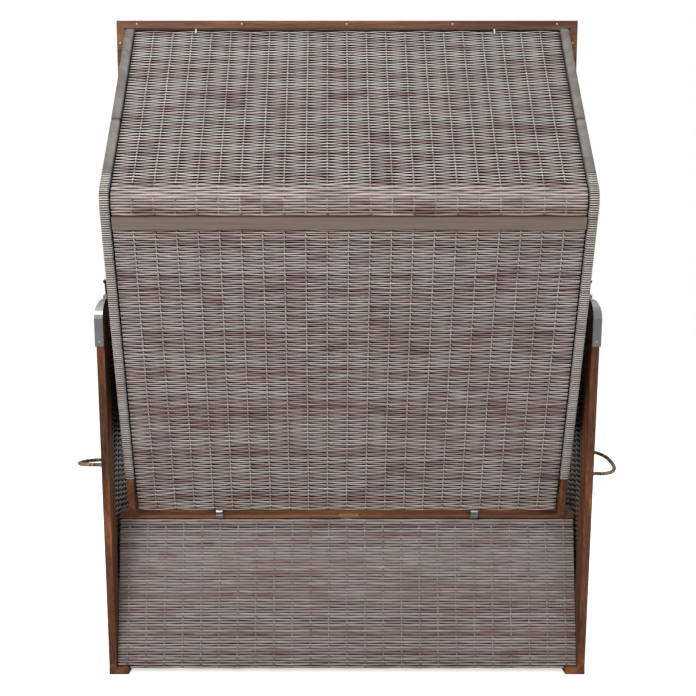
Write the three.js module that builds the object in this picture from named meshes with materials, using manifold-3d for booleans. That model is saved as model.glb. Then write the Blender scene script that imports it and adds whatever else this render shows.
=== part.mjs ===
// A hooded beach chair for two: a boarded base with woven walls, and a woven hood that reclines on it.
// Millimetres. x runs across the seat, y to the rear, z up. Until the last lines y = 0 is near the hood's hinge.
import * as THREE from "three";
import { mergeVertices, mergeGeometries } from "three/addons/utils/BufferGeometryUtils.js";
import Module from "manifold-3d";

const wasm = await Module();
wasm.setup();

const degree = Math.PI / 180;
const gap = 0.3; // between pieces that touch
const overrun = 40; // how far a cutting tool runs past what it cuts

// Driving sizes of the whole chair.
const overallWidth = 1180;
const wallThickness = 18;
const innerHalf = overallWidth / 2 - wallThickness;

// Side walls of the base, drawn from the side.
const wall = {
  rearFoot: 23, // y of the rear edge at the floor
  rearLean: 10.3 * degree,
  rearTop: 931, // height of the top rear corner
  cornerRadius: 45,
  crestLength: 34, // flat length on top of the rear corner
  crestPull: 120, // how far the sweep keeps level as it leaves the crest
  armPull: 120, // and before it lands on the arm
  armTop: 636,
  armRear: -205, // where the sweep lands on the arm
  frontFace: -560,
  postWidth: 58,
  frontPostWidth: 52,
  railDepth: 46,
  roundIn: 16, // outer top edge, rounded by this much across
  roundDown: 43, // and this much down
};

const sidePanelThickness = 9;

// The upright stakes that the wicker is woven round stand out from every panel as ridges.
const stake = { width: 7, height: 1.6, hoodPitch: 47.6, wallPitch: 46, backPitch: 45.6 };

const skid = { width: 48, height: 25, setBack: 22 };
const backRail = { depth: 55, height: 17, rearFace: -16, top: 396.5 };
const backPanel = { thickness: 9, bottom: 14, topRear: -14, bottomRear: 22 };
const bottomRail = { thickness: 18, height: 46, stileWidth: 20 };

const seat = {
  top: 335,
  slat: 16,
  slatWidth: 55,
  slatCount: 7,
  rearEnd: -72,
  frontInset: 4,
  joint: 2, // how deep the pieces of the seat are let into each other
  slatSpace: 12,
  bearerWidth: 18,
  bearerHeight: 20,
  frontRail: 18,
  frontRailHeight: 37,
  divider: 18,
};

const footrest = {
  side: 3,
  front: 18,
  frontGap: 1.5,
  bottom: 10,
  depth: 440,
  wall: 16,
  wallHeight: 150,
  boardTop: 240,
  board: 12,
  grip: 100,
  gripHeight: 22,
  gripDrop: 92,
  runner: 20,
  runnerHeight: 30,
};

const armrest = { width: 64, thickness: 20, overhang: 6, rearGap: 7, frontOverhang: 12, corner: 14, edge: 3 };

// Hood, drawn along its rear surface from the hinge over the knee to the front.
const hood = {
  startY: 0.5,
  startZ: 388,
  backLean: 24.7 * degree,
  backLength: 817,
  kneeRadius: 50,
  roofLeanLow: 36.9 * degree,
  roofLeanHigh: 33 * degree,
  roofLength: 512,
  frameGap: 3, // between its sides and the boards of its front frame
  rimStart: 108, // the wrapping starts this far up
  rimDepth: 27,
  rimSkin: 2.6,
  stileWidth: 16.5,
  stileDepth: 42,
  panelGap: 3.7, // between the panels and the wound rims
  panelRecess: 1.5,
  panelThickness: 10,
  panelStart: 12,
  stripBelowKnee: 49,
  stripWidth: 27,
  stripProud: 1.5,
  tongueFront: -14.5, // in front of this the stile is cut off above the back rail
  tongueTop: 401,
  batten: 18,
  battenWidth: 46,
  battenShare: 0.48, // of the back at which the middle batten starts
  battenBelowKnee: 72,
  sideThickness: 12,
  sideInset: 5,
  sideStart: 60, // how far up the back line the side panel starts
  sideFront: 625, // height of its lower front corner
  sideRail: 34,
  railJoint: 0.6, // between a side panel and its rail, which meet at a slant
};

// The two hinges between the back rail and the hood.
const hinge = {
  y: -5.5,
  z: 388,
  radius: 5,
  pin: 2.4,
  x: 320,
  knuckle: 12, // length of the hood's knuckle
  ear: 5, // length of each knuckle on the rail
  leaf: 2.2,
  leafHeight: 17,
  web: 4,
};

// The hood's front frame. Its tail is how far its boards run below the hood's sides.
const frame = { lean: 8 * degree, wallGap: 3, board: 50, thickness: 18, rise: 18, tail: 38.7 };

// The notched recline bars on the hood's sides, bent round the hinge axis.
const bar = {
  thickness: 4,
  depth: 22,
  offset: 8, // from the hood's side
  notch: 9,
  notchDepth: 4.5,
  stops: 7,
  frontGap: 4,
  rearTail: 2.2 * degree,
  frontTail: 0.84 * degree,
  spacer: 6,
};

// The steel caps over the rear posts, with ears for the latch levers.
const cap = { thickness: 2.5, inset: 0.5, leg: 111, flange: 20, earThickness: 3, earHalf: 6 };

// The latch levers: a pawl that drops into the bar, and a rod with a ball to lift it.
const lever = {
  inset: 5, // of the pivot into the wall's thickness
  rise: 7, // of the pivot above the cap
  hub: 4,
  hubLength: 15,
  pin: 1.8,
  rod: 2.6,
  rodLength: 33,
  ball: 5.6,
  lean: 5 * degree,
  pawl: 7,
  pawlThickness: 5,
  tipDrop: 3,
};

// Carrying handles of wrapped rope, each swinging on an eye plate.
const handle = {
  radius: 4.8,
  reach: 85,
  near: 60,
  far: -112,
  z: 519,
  eye: 7.5,
  eyeLength: 11,
  pin: 2,
  plate: 2,
  plateWidth: 16,
  lug: 2.5,
};
const handleTilt = { left: -7, right: 15 }; // how far the front end stands above the middle

// Side tables, hanging from the rails on hinges.
const table = {
  length: 270,
  width: 190,
  thickness: 16,
  front: -525,
  corner: 30,
  edge: 1.2,
  hingeZ: 606,
  hinge: 3,
  pin: 1.5,
  knuckle: 14,
  ear: 12,
  leaf: 2,
  leafDrop: 12,
  stand: 7, // of the hanging board off the wall
  upPlay: 0.8, // between the raised board's edge and the wall
  fromEnd: 45,
};

// The awning: a bow that swings between the front boards, with a cloth stretched over it.
const awning = {
  drop: 46,
  arm: 230,
  armWidth: 22,
  thickness: 12,
  batten: 28,
  sideGap: 4,
  cloth: 2.5,
  clothStart: 8,
  clothEnd: 0.6,
  sag: 9,
  pin: 4,
  pinLength: 14,
};

const plate = { width: 49, height: 13, thickness: 1.2, x: -4.7 };

// Cushions, with a crown, drawn-in sides and a sewn channel across.
const cushion = {
  seatHeight: 82,
  backHeight: 78,
  backLength: 560,
  backStart: 42,
  footHeight: 42,
  crown: 9,
  drawIn: 7,
  between: 6,
  tuck: 0.6, // between a foot cushion and the footrest's front
  sideGap: 5,
  roundShare: 0.16, // of the plan that is taken up by its round corners
  channel: 16,
  channelDepth: 7,
};

const colour = {
  mahogany: new THREE.MeshStandardMaterial({ color: 0x6d4027, roughness: 0.55 }),
  wicker: new THREE.MeshStandardMaterial({ color: 0x9c918c, roughness: 0.6 }),
  strip: new THREE.MeshStandardMaterial({ color: 0x84776c, roughness: 0.5 }),
  steel: new THREE.MeshStandardMaterial({ color: 0xb8bcc0, roughness: 0.3, metalness: 1 }),
  brass: new THREE.MeshStandardMaterial({ color: 0xa98a55, roughness: 0.4, metalness: 1 }),
  rope: new THREE.MeshStandardMaterial({ color: 0x7b6242, roughness: 0.8 }),
  fabric: new THREE.MeshStandardMaterial({ color: 0xc9bfae, roughness: 0.9 }),
};

const chair = new THREE.Group();

function add(name, geometry, material, parent = chair) {
  const mesh = new THREE.Mesh(geometry, material);
  mesh.name = name;
  parent.add(mesh);
  return mesh;
}

const sides = [
  { name: "left", sign: 1 },
  { name: "right", sign: -1 },
];

// Solids and plain geometry

function toSolid(geometry) {
  const plain = new THREE.BufferGeometry();
  plain.setAttribute("position", geometry.getAttribute("position"));
  if (geometry.index) plain.setIndex(geometry.index);
  const merged = mergeVertices(plain);
  return new wasm.Manifold(
    new wasm.Mesh({
      numProp: 3,
      vertProperties: merged.getAttribute("position").array,
      triVerts: new Uint32Array(merged.index.array),
    }),
  );
}

function toGeometry(solid) {
  const mesh = solid.getMesh();
  const geometry = new THREE.BufferGeometry();
  geometry.setAttribute("position", new THREE.BufferAttribute(mesh.vertProperties, 3));
  geometry.setIndex(new THREE.BufferAttribute(mesh.triVerts, 1));
  const flat = geometry.toNonIndexed();
  flat.computeVertexNormals();
  return flat;
}

function subtract(geometry, ...tools) {
  let solid = toSolid(geometry);
  for (const tool of tools) solid = solid.subtract(toSolid(tool));
  return toGeometry(solid);
}

function intersect(geometry, tool) {
  return toGeometry(toSolid(geometry).intersect(toSolid(tool)));
}

function join(...geometries) {
  let solid = toSolid(geometries[0]);
  for (const other of geometries.slice(1)) solid = solid.add(toSolid(other));
  return toGeometry(solid);
}

function together(geometries) {
  return mergeGeometries(
    geometries.map((geometry) => {
      const flat = geometry.index ? geometry.toNonIndexed() : geometry.clone();
      flat.deleteAttribute("uv");
      return flat;
    }),
  );
}

// A copy on the other side of the chair.
function mirrored(geometry) {
  const flat = geometry.index ? geometry.toNonIndexed() : geometry.clone();
  flat.deleteAttribute("uv");
  const place = flat.getAttribute("position");
  for (let i = 0; i < place.count; i += 3) {
    const [ax, ay, az] = [place.getX(i + 1), place.getY(i + 1), place.getZ(i + 1)];
    place.setXYZ(i + 1, place.getX(i + 2), place.getY(i + 2), place.getZ(i + 2));
    place.setXYZ(i + 2, ax, ay, az);
  }
  flat.scale(-1, 1, 1);
  flat.computeVertexNormals();
  return flat;
}

const onSide = (geometry, side) => (side.sign > 0 ? geometry : mirrored(geometry));

function board(x0, x1, y0, y1, z0, z1) {
  const geometry = new THREE.BoxGeometry(x1 - x0, y1 - y0, z1 - z0);
  return geometry.translate((x0 + x1) / 2, (y0 + y1) / 2, (z0 + z1) / 2);
}

// A shape drawn in (y, z) and given a thickness from x0 to x1.
function fromSide(points, x0, x1, holes = []) {
  const shape = new THREE.Shape(points.map(([y, z]) => new THREE.Vector2(y, z)));
  for (const hole of holes) shape.holes.push(new THREE.Path(hole.map(([y, z]) => new THREE.Vector2(y, z))));
  const geometry = new THREE.ExtrudeGeometry(shape, { depth: x1 - x0, bevelEnabled: false });
  const turn = new THREE.Matrix4().makeBasis(
    new THREE.Vector3(0, 1, 0),
    new THREE.Vector3(0, 0, 1),
    new THREE.Vector3(1, 0, 0),
  );
  return geometry.applyMatrix4(turn).translate(x0, 0, 0);
}

// A shape drawn in (x, z), seen from behind, and given a depth from y0 to y1.
function fromBehind(points, y0, y1) {
  const shape = new THREE.Shape(points.map(([x, z]) => new THREE.Vector2(x, z)));
  const geometry = new THREE.ExtrudeGeometry(shape, { depth: y1 - y0, bevelEnabled: false });
  return geometry.rotateX(Math.PI / 2).translate(0, y1, 0);
}

function rodAlong(axis, radius, length, x, y, z, steps = 12) {
  const geometry = new THREE.CylinderGeometry(radius, radius, length, steps);
  if (axis === "x") geometry.rotateZ(Math.PI / 2);
  if (axis === "z") geometry.rotateX(Math.PI / 2);
  return geometry.translate(x, y, z);
}

// Points on an arc in (y, z), from one angle to another.
function arc(cy, cz, radius, from, to, steps) {
  const points = [];
  for (let i = 0; i <= steps; i++) {
    const angle = from + ((to - from) * i) / steps;
    points.push([cy + radius * Math.cos(angle), cz + radius * Math.sin(angle)]);
  }
  return points;
}

// The side wall's outline, in (y, z)

const outerHalf = overallWidth / 2;
const postTop = wall.rearTop - wall.cornerRadius;
const capBottom = wall.rearTop - cap.leg;
const postLevelWidth = wall.postWidth / Math.cos(wall.rearLean);
const railBottom = wall.armTop - wall.railDepth;
const rearAt = (z) => wall.rearFoot + Math.tan(wall.rearLean) * z;
const cornerY = rearAt(postTop) - wall.cornerRadius;
const crestEnd = cornerY - wall.crestLength;

// The round rear corner, moved outwards by an amount.
const rearCorner = (grow) => arc(cornerY, postTop, wall.cornerRadius + grow, 0, Math.PI / 2, 8);

// The rail's sweep from the crest down to the arm, moved inwards by an offset.
function sweepLine(offset) {
  const path = new THREE.CubicBezierCurve(
    new THREE.Vector2(crestEnd, wall.rearTop),
    new THREE.Vector2(crestEnd - wall.crestPull, wall.rearTop),
    new THREE.Vector2(wall.armRear + wall.armPull, wall.armTop),
    new THREE.Vector2(wall.armRear, wall.armTop),
  );
  const steps = 14;
  const points = [];
  for (let i = 0; i <= steps; i++) {
    const at = path.getPoint(i / steps);
    const along = path.getTangent(i / steps);
    points.push([at.x - along.y * offset, at.y + along.x * offset]);
  }
  return points;
}

// Everything under the rounded outer edge, on the left side of the chair.
function underRound(grow) {
  const outer = outerHalf + grow;
  const top = wall.rearTop + grow;
  const points = [[0, -overrun], [outer, -overrun]];
  const steps = 6;
  for (let i = 0; i <= steps; i++) {
    const angle = ((Math.PI / 2) * i) / steps;
    points.push([
      outer - wall.roundIn * (1 - Math.cos(angle)),
      top - wall.roundDown * (1 - Math.sin(angle)),
    ]);
  }
  points.push([0, top]);
  return fromBehind(points, wall.frontFace - overrun, rearAt(top) + overrun);
}

// Side tables and the hinge ears that carry them on the rails

const tableAxisX = outerHalf + gap + table.hinge;
const tableRear = table.front + table.length;
const tableHingePlaces = [table.front + table.fromEnd, tableRear - table.fromEnd];

function tableHingeEars() {
  return tableHingePlaces.flatMap((y) => {
    const half = table.knuckle / 2 + gap + table.ear;
    const ears = [-1, 1].map((sign) => {
      const middle = y + sign * (half - table.ear / 2);
      return join(
        rodAlong("y", table.hinge, table.ear, tableAxisX, middle, table.hingeZ, 12),
        board(
          outerHalf - table.leaf, tableAxisX, middle - table.ear / 2, middle + table.ear / 2,
          table.hingeZ - table.hinge, table.hingeZ,
        ),
      );
    });
    const leaf = board(
      outerHalf - table.leaf, outerHalf + table.leaf, y - half, y + half,
      table.hingeZ - table.leafDrop, table.hingeZ - table.hinge,
    );
    const pin = rodAlong("y", table.pin, half * 2, tableAxisX, y, table.hingeZ, 10);
    return [...ears, leaf, pin];
  });
}

// A flat board with round corners; the rounding is in the plane of its broad face.
function roundedBoard(width, length, thickness, corner, edge) {
  const [w, l] = [width / 2 - edge, length / 2 - edge];
  const r = corner - edge;
  const shape = new THREE.Shape();
  shape.moveTo(w, -l + r);
  shape.lineTo(w, l - r);
  shape.absarc(w - r, l - r, r, 0, Math.PI / 2);
  shape.absarc(-w + r, l - r, r, Math.PI / 2, Math.PI);
  shape.absarc(-w + r, -l + r, r, Math.PI, Math.PI * 1.5);
  shape.absarc(w - r, -l + r, r, Math.PI * 1.5, Math.PI * 2);
  const settings = {
    depth: thickness - edge * 2, bevelEnabled: true, bevelThickness: edge, bevelSize: edge,
    bevelSegments: 1, curveSegments: 4,
  };
  return new THREE.ExtrudeGeometry(shape, settings).translate(0, 0, edge);
}

function sideTable() {
  const panel = roundedBoard(table.width, table.length, table.thickness, table.corner, table.edge);
  const top = table.hingeZ + table.hinge - table.upPlay;
  panel.rotateY(Math.PI / 2).translate(outerHalf + table.stand, (table.front + tableRear) / 2, top - table.width / 2);
  const pieces = tableHingePlaces.flatMap((y) => [
    rodAlong("y", table.hinge, table.knuckle, tableAxisX, y, table.hingeZ, 12),
    board(
      tableAxisX, outerHalf + table.stand + table.leaf, y - table.knuckle / 2, y + table.knuckle / 2,
      table.hingeZ - table.hinge, table.hingeZ - table.hinge + table.leaf,
    ),
  ]);
  const bores = tableHingePlaces.map((y) => (
    rodAlong("y", table.pin + gap, table.knuckle + table.ear, tableAxisX, y, table.hingeZ, 10)
  ));
  return subtract(join(panel, ...pieces), ...bores);
}

// Woven panels

// Where the stakes stand, counted from the middle, between two ends.
function stakePlaces(from, to, pitch) {
  const places = [];
  const reach = stake.width / 2 + gap;
  for (let i = Math.ceil((from + reach) / pitch); i * pitch < to - reach; i++) places.push(i * pitch);
  return places;
}

// A flat woven panel in a side wall: a thinner slab, with its stakes as ridges on both faces.
function wovenSide(outline, x0, x1) {
  const slab = fromSide(outline, x0 + stake.height, x1 - stake.height);
  const [from, to] = [Math.min(...outline.map(([y]) => y)), Math.max(...outline.map(([y]) => y))];
  const tall = Math.max(...outline.map(([, z]) => z));
  const ridges = stakePlaces(from, to, stake.wallPitch).map((y) => (
    board(x0, x1, y - stake.width / 2, y + stake.width / 2, 0, tall)
  ));
  return join(slab, intersect(fromSide(outline, x0, x1), together(ridges)));
}

// Base: side walls

function rearPost() {
  const foot = skid.height + gap;
  const head = postTop - gap;
  const outline = [
    [rearAt(foot) - postLevelWidth, foot],
    [rearAt(foot), foot],
    [rearAt(head), head],
    [rearAt(head) - postLevelWidth, head],
  ];
  return fromSide(outline, innerHalf, outerHalf);
}

function topRail() {
  const outline = [
    ...rearCorner(0),
    ...sweepLine(0),
    [wall.frontFace, wall.armTop],
    [wall.frontFace, railBottom],
    ...sweepLine(wall.railDepth).reverse(),
    [rearAt(postTop) - postLevelWidth, postTop],
  ];
  const rail = intersect(fromSide(outline, innerHalf, outerHalf), underRound(0));
  return join(rail, ...tableHingeEars());
}

function frontPost() {
  const { frontFace, frontPostWidth } = wall;
  return board(innerHalf, outerHalf, frontFace, frontFace + frontPostWidth, skid.height + gap, railBottom - gap);
}

function skidBoard() {
  const front = wall.frontFace + skid.setBack;
  return board(outerHalf - skid.width, outerHalf, front, rearAt(skid.height) - gap, 0, skid.height);
}

// The woven wall fills the opening between the posts, the rail and the skid.
function sidePanel() {
  const foot = skid.height + gap;
  const front = wall.frontFace + wall.frontPostWidth + gap;
  const rearOf = (z) => rearAt(z) - postLevelWidth - gap;
  const under = sweepLine(wall.railDepth + gap).filter(([y, z]) => y < rearOf(z));
  const top = under[0][1];
  const outline = [
    [front, foot],
    [rearOf(foot), foot],
    [rearOf(top), top],
    ...under,
    [front, railBottom - gap],
  ];
  const middle = (innerHalf + outerHalf) / 2;
  return wovenSide(outline, middle - sidePanelThickness / 2, middle + sidePanelThickness / 2);
}

const base = new THREE.Group();
chair.add(base);

for (const side of sides) {
  const put = (name, geometry, material) => add(`${name}_${side.name}`, onSide(geometry, side), material, base);
  put("rear_post", rearPost(), colour.mahogany);
  put("top_rail", topRail(), colour.mahogany);
  put("front_post", frontPost(), colour.mahogany);
  put("skid", skidBoard(), colour.mahogany);
  put("side_panel", sidePanel(), colour.wicker);
}

// Base: back, seat and runners

const clear = innerHalf - gap;
const backRailFront = backRail.rearFace - backRail.depth;
const backRailBottom = backRail.top - backRail.height;
const bayInner = seat.divider / 2;
const slatUnder = seat.top - seat.slat;

function backRailBoard() {
  const rail = board(-clear, clear, backRailFront, backRail.rearFace, backRailBottom, backRail.top);
  return rail;
}

const backPanelTop = backRailBottom - gap;
const backPanelLean = (backPanel.bottomRear - backPanel.topRear) / (backPanelTop - backPanel.bottom);
const backPanelRear = (z) => backPanel.bottomRear - (z - backPanel.bottom) * backPanelLean;

function backPanelSlab(rearOffset, thickness, z0, z1, x0, x1) {
  const outline = [
    [backPanelRear(z0) - rearOffset - thickness, z0],
    [backPanelRear(z0) - rearOffset, z0],
    [backPanelRear(z1) - rearOffset, z1],
    [backPanelRear(z1) - rearOffset - thickness, z1],
  ];
  return fromSide(outline, x0, x1);
}

const wickerBack = subtract(
  join(
    backPanelSlab(stake.height, backPanel.thickness - stake.height, backPanel.bottom, backPanelTop, -clear, clear),
    ...stakePlaces(-clear, clear, stake.backPitch).map((x) => backPanelSlab(
      0, backPanel.thickness, backPanel.bottom, backPanelTop, x - stake.width / 2, x + stake.width / 2,
    )),
  ),
  ...sides.map((side) => onSide(
    board(outerHalf - skid.width - gap, outerHalf, wall.frontFace, rearAt(0) + overrun, 0, skid.height + gap),
    side,
  )),
);
add("base_back_panel", wickerBack, colour.wicker, base);
add("back_rail", backRailBoard(), colour.mahogany, base);
const seatFront = wall.frontFace + seat.frontInset;
const seatDepth = seat.rearEnd - seatFront;
const frontRailRear = seatFront + seat.frontRail;

// The slatted seat: slats let into two bearers, with a rail along the front edge.
function slattedSeat() {
  const pitch = (seatDepth - seat.frontRail - seat.slatSpace - seat.slatWidth) / (seat.slatCount - 1);
  const pieces = [board(-clear, clear, seatFront, frontRailRear, seat.top - seat.frontRailHeight, seat.top)];
  for (const side of sides) {
    const bearer = board(
      clear - seat.bearerWidth, clear, frontRailRear - seat.joint, seat.rearEnd,
      slatUnder - seat.bearerHeight, slatUnder + seat.joint,
    );
    pieces.push(onSide(bearer, side));
  }
  for (let i = 0; i < seat.slatCount; i++) {
    const y = frontRailRear + seat.slatSpace + i * pitch;
    pieces.push(board(-clear, clear, y, y + seat.slatWidth, slatUnder, seat.top));
  }
  return join(...pieces);
}
add("slatted_seat", slattedSeat(), colour.mahogany, base);

const runnerTop = footrest.boardTop - footrest.board - footrest.wallHeight - gap;
const runnerFront = wall.frontFace + wall.frontPostWidth;
for (const side of sides) {
  const runner = board(
    clear - footrest.runner, clear, runnerFront, seat.rearEnd, runnerTop - footrest.runnerHeight, runnerTop,
  );
  add(`footrest_runner_${side.name}`, onSide(runner, side), colour.mahogany, base);
}

// The inner frame: a divider between the footrests with their inner runners on it, and, behind the seat,
// a bottom rail and two stiles that stand on the skids and carry the back rail.
const dividerFront = frontRailRear + gap;
const dividerTop = slatUnder - gap;
const innerFrame = join(
  board(-bayInner, bayInner, dividerFront, seat.rearEnd, 0, dividerTop),
  board(
    -bayInner - footrest.runner, bayInner + footrest.runner,
    runnerFront, seat.rearEnd, runnerTop - footrest.runnerHeight, runnerTop,
  ),
  board(-bayInner, bayInner, seat.rearEnd - seat.joint, 0, 0, skid.height + bottomRail.height),
  backPanelSlab(
    backPanel.thickness + gap, bottomRail.thickness,
    skid.height + gap, skid.height + gap + bottomRail.height, -clear, clear,
  ),
  ...sides.map((side) => onSide(
    backPanelSlab(
      backPanel.thickness + gap, bottomRail.thickness,
      skid.height + gap, backRailBottom - gap, clear - bottomRail.stileWidth, clear,
    ),
    side,
  )),
);
add("inner_frame", innerFrame, colour.mahogany, base);

// Hood: its rear surface as a line in (y, z), walked from the hinge over the knee to the front frame

const kneeTurn = hood.backLean + hood.roofLeanLow;
const kneeEnd = hood.backLength + hood.kneeRadius * kneeTurn;
const hoodEnd = kneeEnd + hood.roofLength;

// Distances at which the line is sampled, with more of them where it bends.
function hoodStops(from, to) {
  const kneeSteps = 8;
  const roofSteps = 4;
  const stops = [];
  for (let i = 0; i <= kneeSteps; i++) {
    stops.push(hood.backLength + ((kneeEnd - hood.backLength) * i) / kneeSteps);
  }
  for (let i = 1; i < roofSteps; i++) stops.push(kneeEnd + (hood.roofLength * i) / roofSteps);
  return [from, ...stops.filter((s) => s > from + gap && s < to - gap), to];
}

const roofTurn = hood.roofLeanLow - hood.roofLeanHigh;

function headingAt(s) {
  if (s <= hood.backLength) return hood.backLean;
  if (s <= kneeEnd) return hood.backLean - (s - hood.backLength) / hood.kneeRadius;
  return -hood.roofLeanLow + (roofTurn * (s - kneeEnd)) / hood.roofLength;
}

// The point at distance s, moved inwards (towards the sitter) by an offset.
function hoodAt(s, offset) {
  let [y, z] = [hood.startY, hood.startZ];
  const straight = Math.min(s, hood.backLength);
  y += straight * Math.sin(hood.backLean);
  z += straight * Math.cos(hood.backLean);
  const bend = (length, from, to) => {
    const turn = to - from;
    if (length <= 0) return;
    const radius = length / turn;
    y += radius * (Math.cos(from) - Math.cos(to));
    z += radius * (Math.sin(to) - Math.sin(from));
  };
  const knee = Math.min(s, kneeEnd) - hood.backLength;
  if (knee > 0) bend(knee, hood.backLean, headingAt(Math.min(s, kneeEnd)));
  const roof = s - kneeEnd;
  if (roof > 0) bend(roof, -hood.roofLeanLow, headingAt(s));
  const heading = headingAt(s);
  return [y - offset * Math.cos(heading), z + offset * Math.sin(heading)];
}

const hoodCurve = (from, to, offset) => hoodStops(from, to).map((s) => hoodAt(s, offset));

function hoodBand(from, to, outer, inner, x0, x1) {
  return fromSide([...hoodCurve(from, to, outer), ...hoodCurve(from, to, inner).reverse()], x0, x1);
}

const hoodGroup = new THREE.Group();
chair.add(hoodGroup);

const frameHalf = innerHalf - frame.wallGap;
const boardInnerX = frameHalf - frame.thickness;
const hoodHalf = boardInnerX - hood.frameGap;
const stileOuterX = hoodHalf - hood.rimSkin - gap;
const stileInnerX = stileOuterX - hood.stileWidth;
const stileOuter = hood.rimSkin + gap;
const stileInner = stileOuter + hood.stileDepth;
const rimInnerX = stileInnerX - gap - hood.rimSkin;
const panelHalf = rimInnerX - hood.panelGap;
const [frameY, frameZ] = hoodAt(hoodEnd, 0);
const frameLength = (frameZ - hood.sideFront) / Math.cos(frame.lean) + frame.tail;
const pastFrame = hoodEnd + overrun; // the hood's pieces run this far before they are cut off at the frame

// Front frame: down and forward along its lean.
const frameAt = (down, forward) => [
  frameY - down * Math.sin(frame.lean) - forward * Math.cos(frame.lean),
  frameZ - down * Math.cos(frame.lean) + forward * Math.sin(frame.lean),
];
const frameBox = (down0, down1, forward0, forward1, x0, x1) => fromSide(
  [frameAt(down0, forward0), frameAt(down1, forward0), frameAt(down1, forward1), frameAt(down0, forward1)].reverse(),
  x0, x1,
);
// All the space behind the front frame, which the hood's sides and roof butt against.
const behindFrame = (half) => fromSide(
  [
    [hood.backLength, frameZ + overrun],
    frameAt(-overrun, -gap),
    frameAt(frameZ / Math.cos(frame.lean), -gap),
    [hood.backLength, 0],
  ],
  -half, half,
);

function stile() {
  const whole = hoodBand(0, pastFrame, stileOuter, stileInner, stileInnerX, stileOuterX);
  const aheadOfTongue = board(
    stileInnerX - overrun, stileOuterX + overrun,
    wall.frontFace, hood.tongueFront, 0, hood.tongueTop,
  );
  return subtract(intersect(whole, behindFrame(outerHalf)), aheadOfTongue);
}

// A sleeve of wound strand round the rear edge of the stile.
function rim() {
  const sleeve = hoodBand(hood.rimStart, pastFrame, 0, hood.rimDepth, rimInnerX, hoodHalf);
  const core = hoodBand(
    hood.rimStart - overrun, pastFrame + overrun, hood.rimSkin, stileInner + overrun,
    stileInnerX - gap, stileOuterX + gap,
  );
  return intersect(subtract(sleeve, core), behindFrame(outerHalf));
}

const panelInner = hood.panelRecess + hood.panelThickness;
const battenInner = panelInner + gap + hood.batten;
const sideOuterX = hoodHalf - hood.sideInset;
const sideInnerX = sideOuterX - hood.sideThickness;
const sideOffset = stileInner + gap;

// The hood's side wall: behind the frame, in front of the stile, over a sloping bottom rail.
const sideRailEnd = hood.sideStart + hood.sideRail / Math.cos(hood.backLean);
const sideFrontAt = (height, forward) => frameAt((frameZ - height) / Math.cos(frame.lean), forward);
const sideFromX = (outline) => intersect(fromSide(outline, sideInnerX, sideOuterX), behindFrame(outerHalf));

function hoodSidePanel() {
  const curve = hoodCurve(sideRailEnd + hood.railJoint, pastFrame, sideOffset);
  const outline = [...curve, sideFrontAt(hood.sideFront + hood.sideRail + hood.railJoint, -gap)];
  return intersect(wovenSide(outline, sideInnerX, sideOuterX), behindFrame(outerHalf));
}

function hoodSideRail() {
  return sideFromX([
    hoodAt(hood.sideStart, sideOffset),
    hoodAt(sideRailEnd, sideOffset),
    sideFrontAt(hood.sideFront + hood.sideRail, -gap),
    sideFrontAt(hood.sideFront, -gap),
  ]);
}

for (const side of sides) {
  const put = (name, geometry, material) => add(`${name}_${side.name}`, onSide(geometry, side), material, hoodGroup);
  put("hood_stile", stile(), colour.mahogany);
  put("hood_rim", rim(), colour.wicker);
  put("hood_side_panel", hoodSidePanel(), colour.wicker);
  put("hood_side_rail", hoodSideRail(), colour.mahogany);
}

const [awningY, awningZ] = frameAt(awning.drop, frame.board / 2);

// The front frame: a top rail over two side boards, bored for the awning's pins.
function frontFrame() {
  const boards = sides.map((side) => onSide(
    frameBox(-frame.rise, frameLength, 0, frame.board, boardInnerX, frameHalf), side,
  ));
  const top = frameBox(-frame.rise, 0, 0, frame.board, -frameHalf, frameHalf);
  const bores = sides.map((side) => rodAlong(
    "x", awning.pin + gap, frame.thickness + overrun, side.sign * (boardInnerX + frame.thickness / 2),
    awningY, awningZ,
  ));
  return subtract(join(top, ...boards), ...bores);
}
add("front_frame", frontFrame(), colour.mahogany, hoodGroup);

const stripStart = hood.backLength - hood.stripBelowKnee;
const stripEnd = stripStart + hood.stripWidth;
const upTo = (geometry) => intersect(geometry, behindFrame(outerHalf));

function wovenBand(from, to) {
  return join(
    hoodBand(from, to, hood.panelRecess + stake.height, panelInner, -panelHalf, panelHalf),
    ...stakePlaces(-panelHalf, panelHalf, stake.hoodPitch).map((x) => hoodBand(
      from, to, hood.panelRecess, hood.panelRecess + stake.height + stake.width,
      x - stake.width / 2, x + stake.width / 2,
    )),
  );
}
add("hood_back_panel", wovenBand(hood.panelStart, stripStart - gap), colour.wicker, hoodGroup);
add("hood_roof_panel", upTo(wovenBand(stripEnd + gap, pastFrame)), colour.wicker, hoodGroup);
add(
  "cover_strip",
  hoodBand(stripStart, stripEnd, -hood.stripProud, panelInner, -panelHalf, panelHalf),
  colour.strip, hoodGroup,
);

const battenHalf = (start) => (start < hood.rimStart ? stileInnerX : rimInnerX) - gap;
const battens = [
  { name: "bottom", start: hood.panelStart },
  { name: "middle", start: hood.backLength * hood.battenShare },
  { name: "knee", start: hood.backLength - hood.battenBelowKnee },
];
for (const { name, start } of battens) {
  const geometry = hoodBand(
    start, start + hood.battenWidth, panelInner + gap, battenInner, -battenHalf(start), battenHalf(start),
  );
  add(`hood_batten_${name}`, geometry, colour.mahogany, hoodGroup);
}

// Hinges between the rail and the hood

const hingeY = hinge.y;
const hingeZ = hinge.z;

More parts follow.
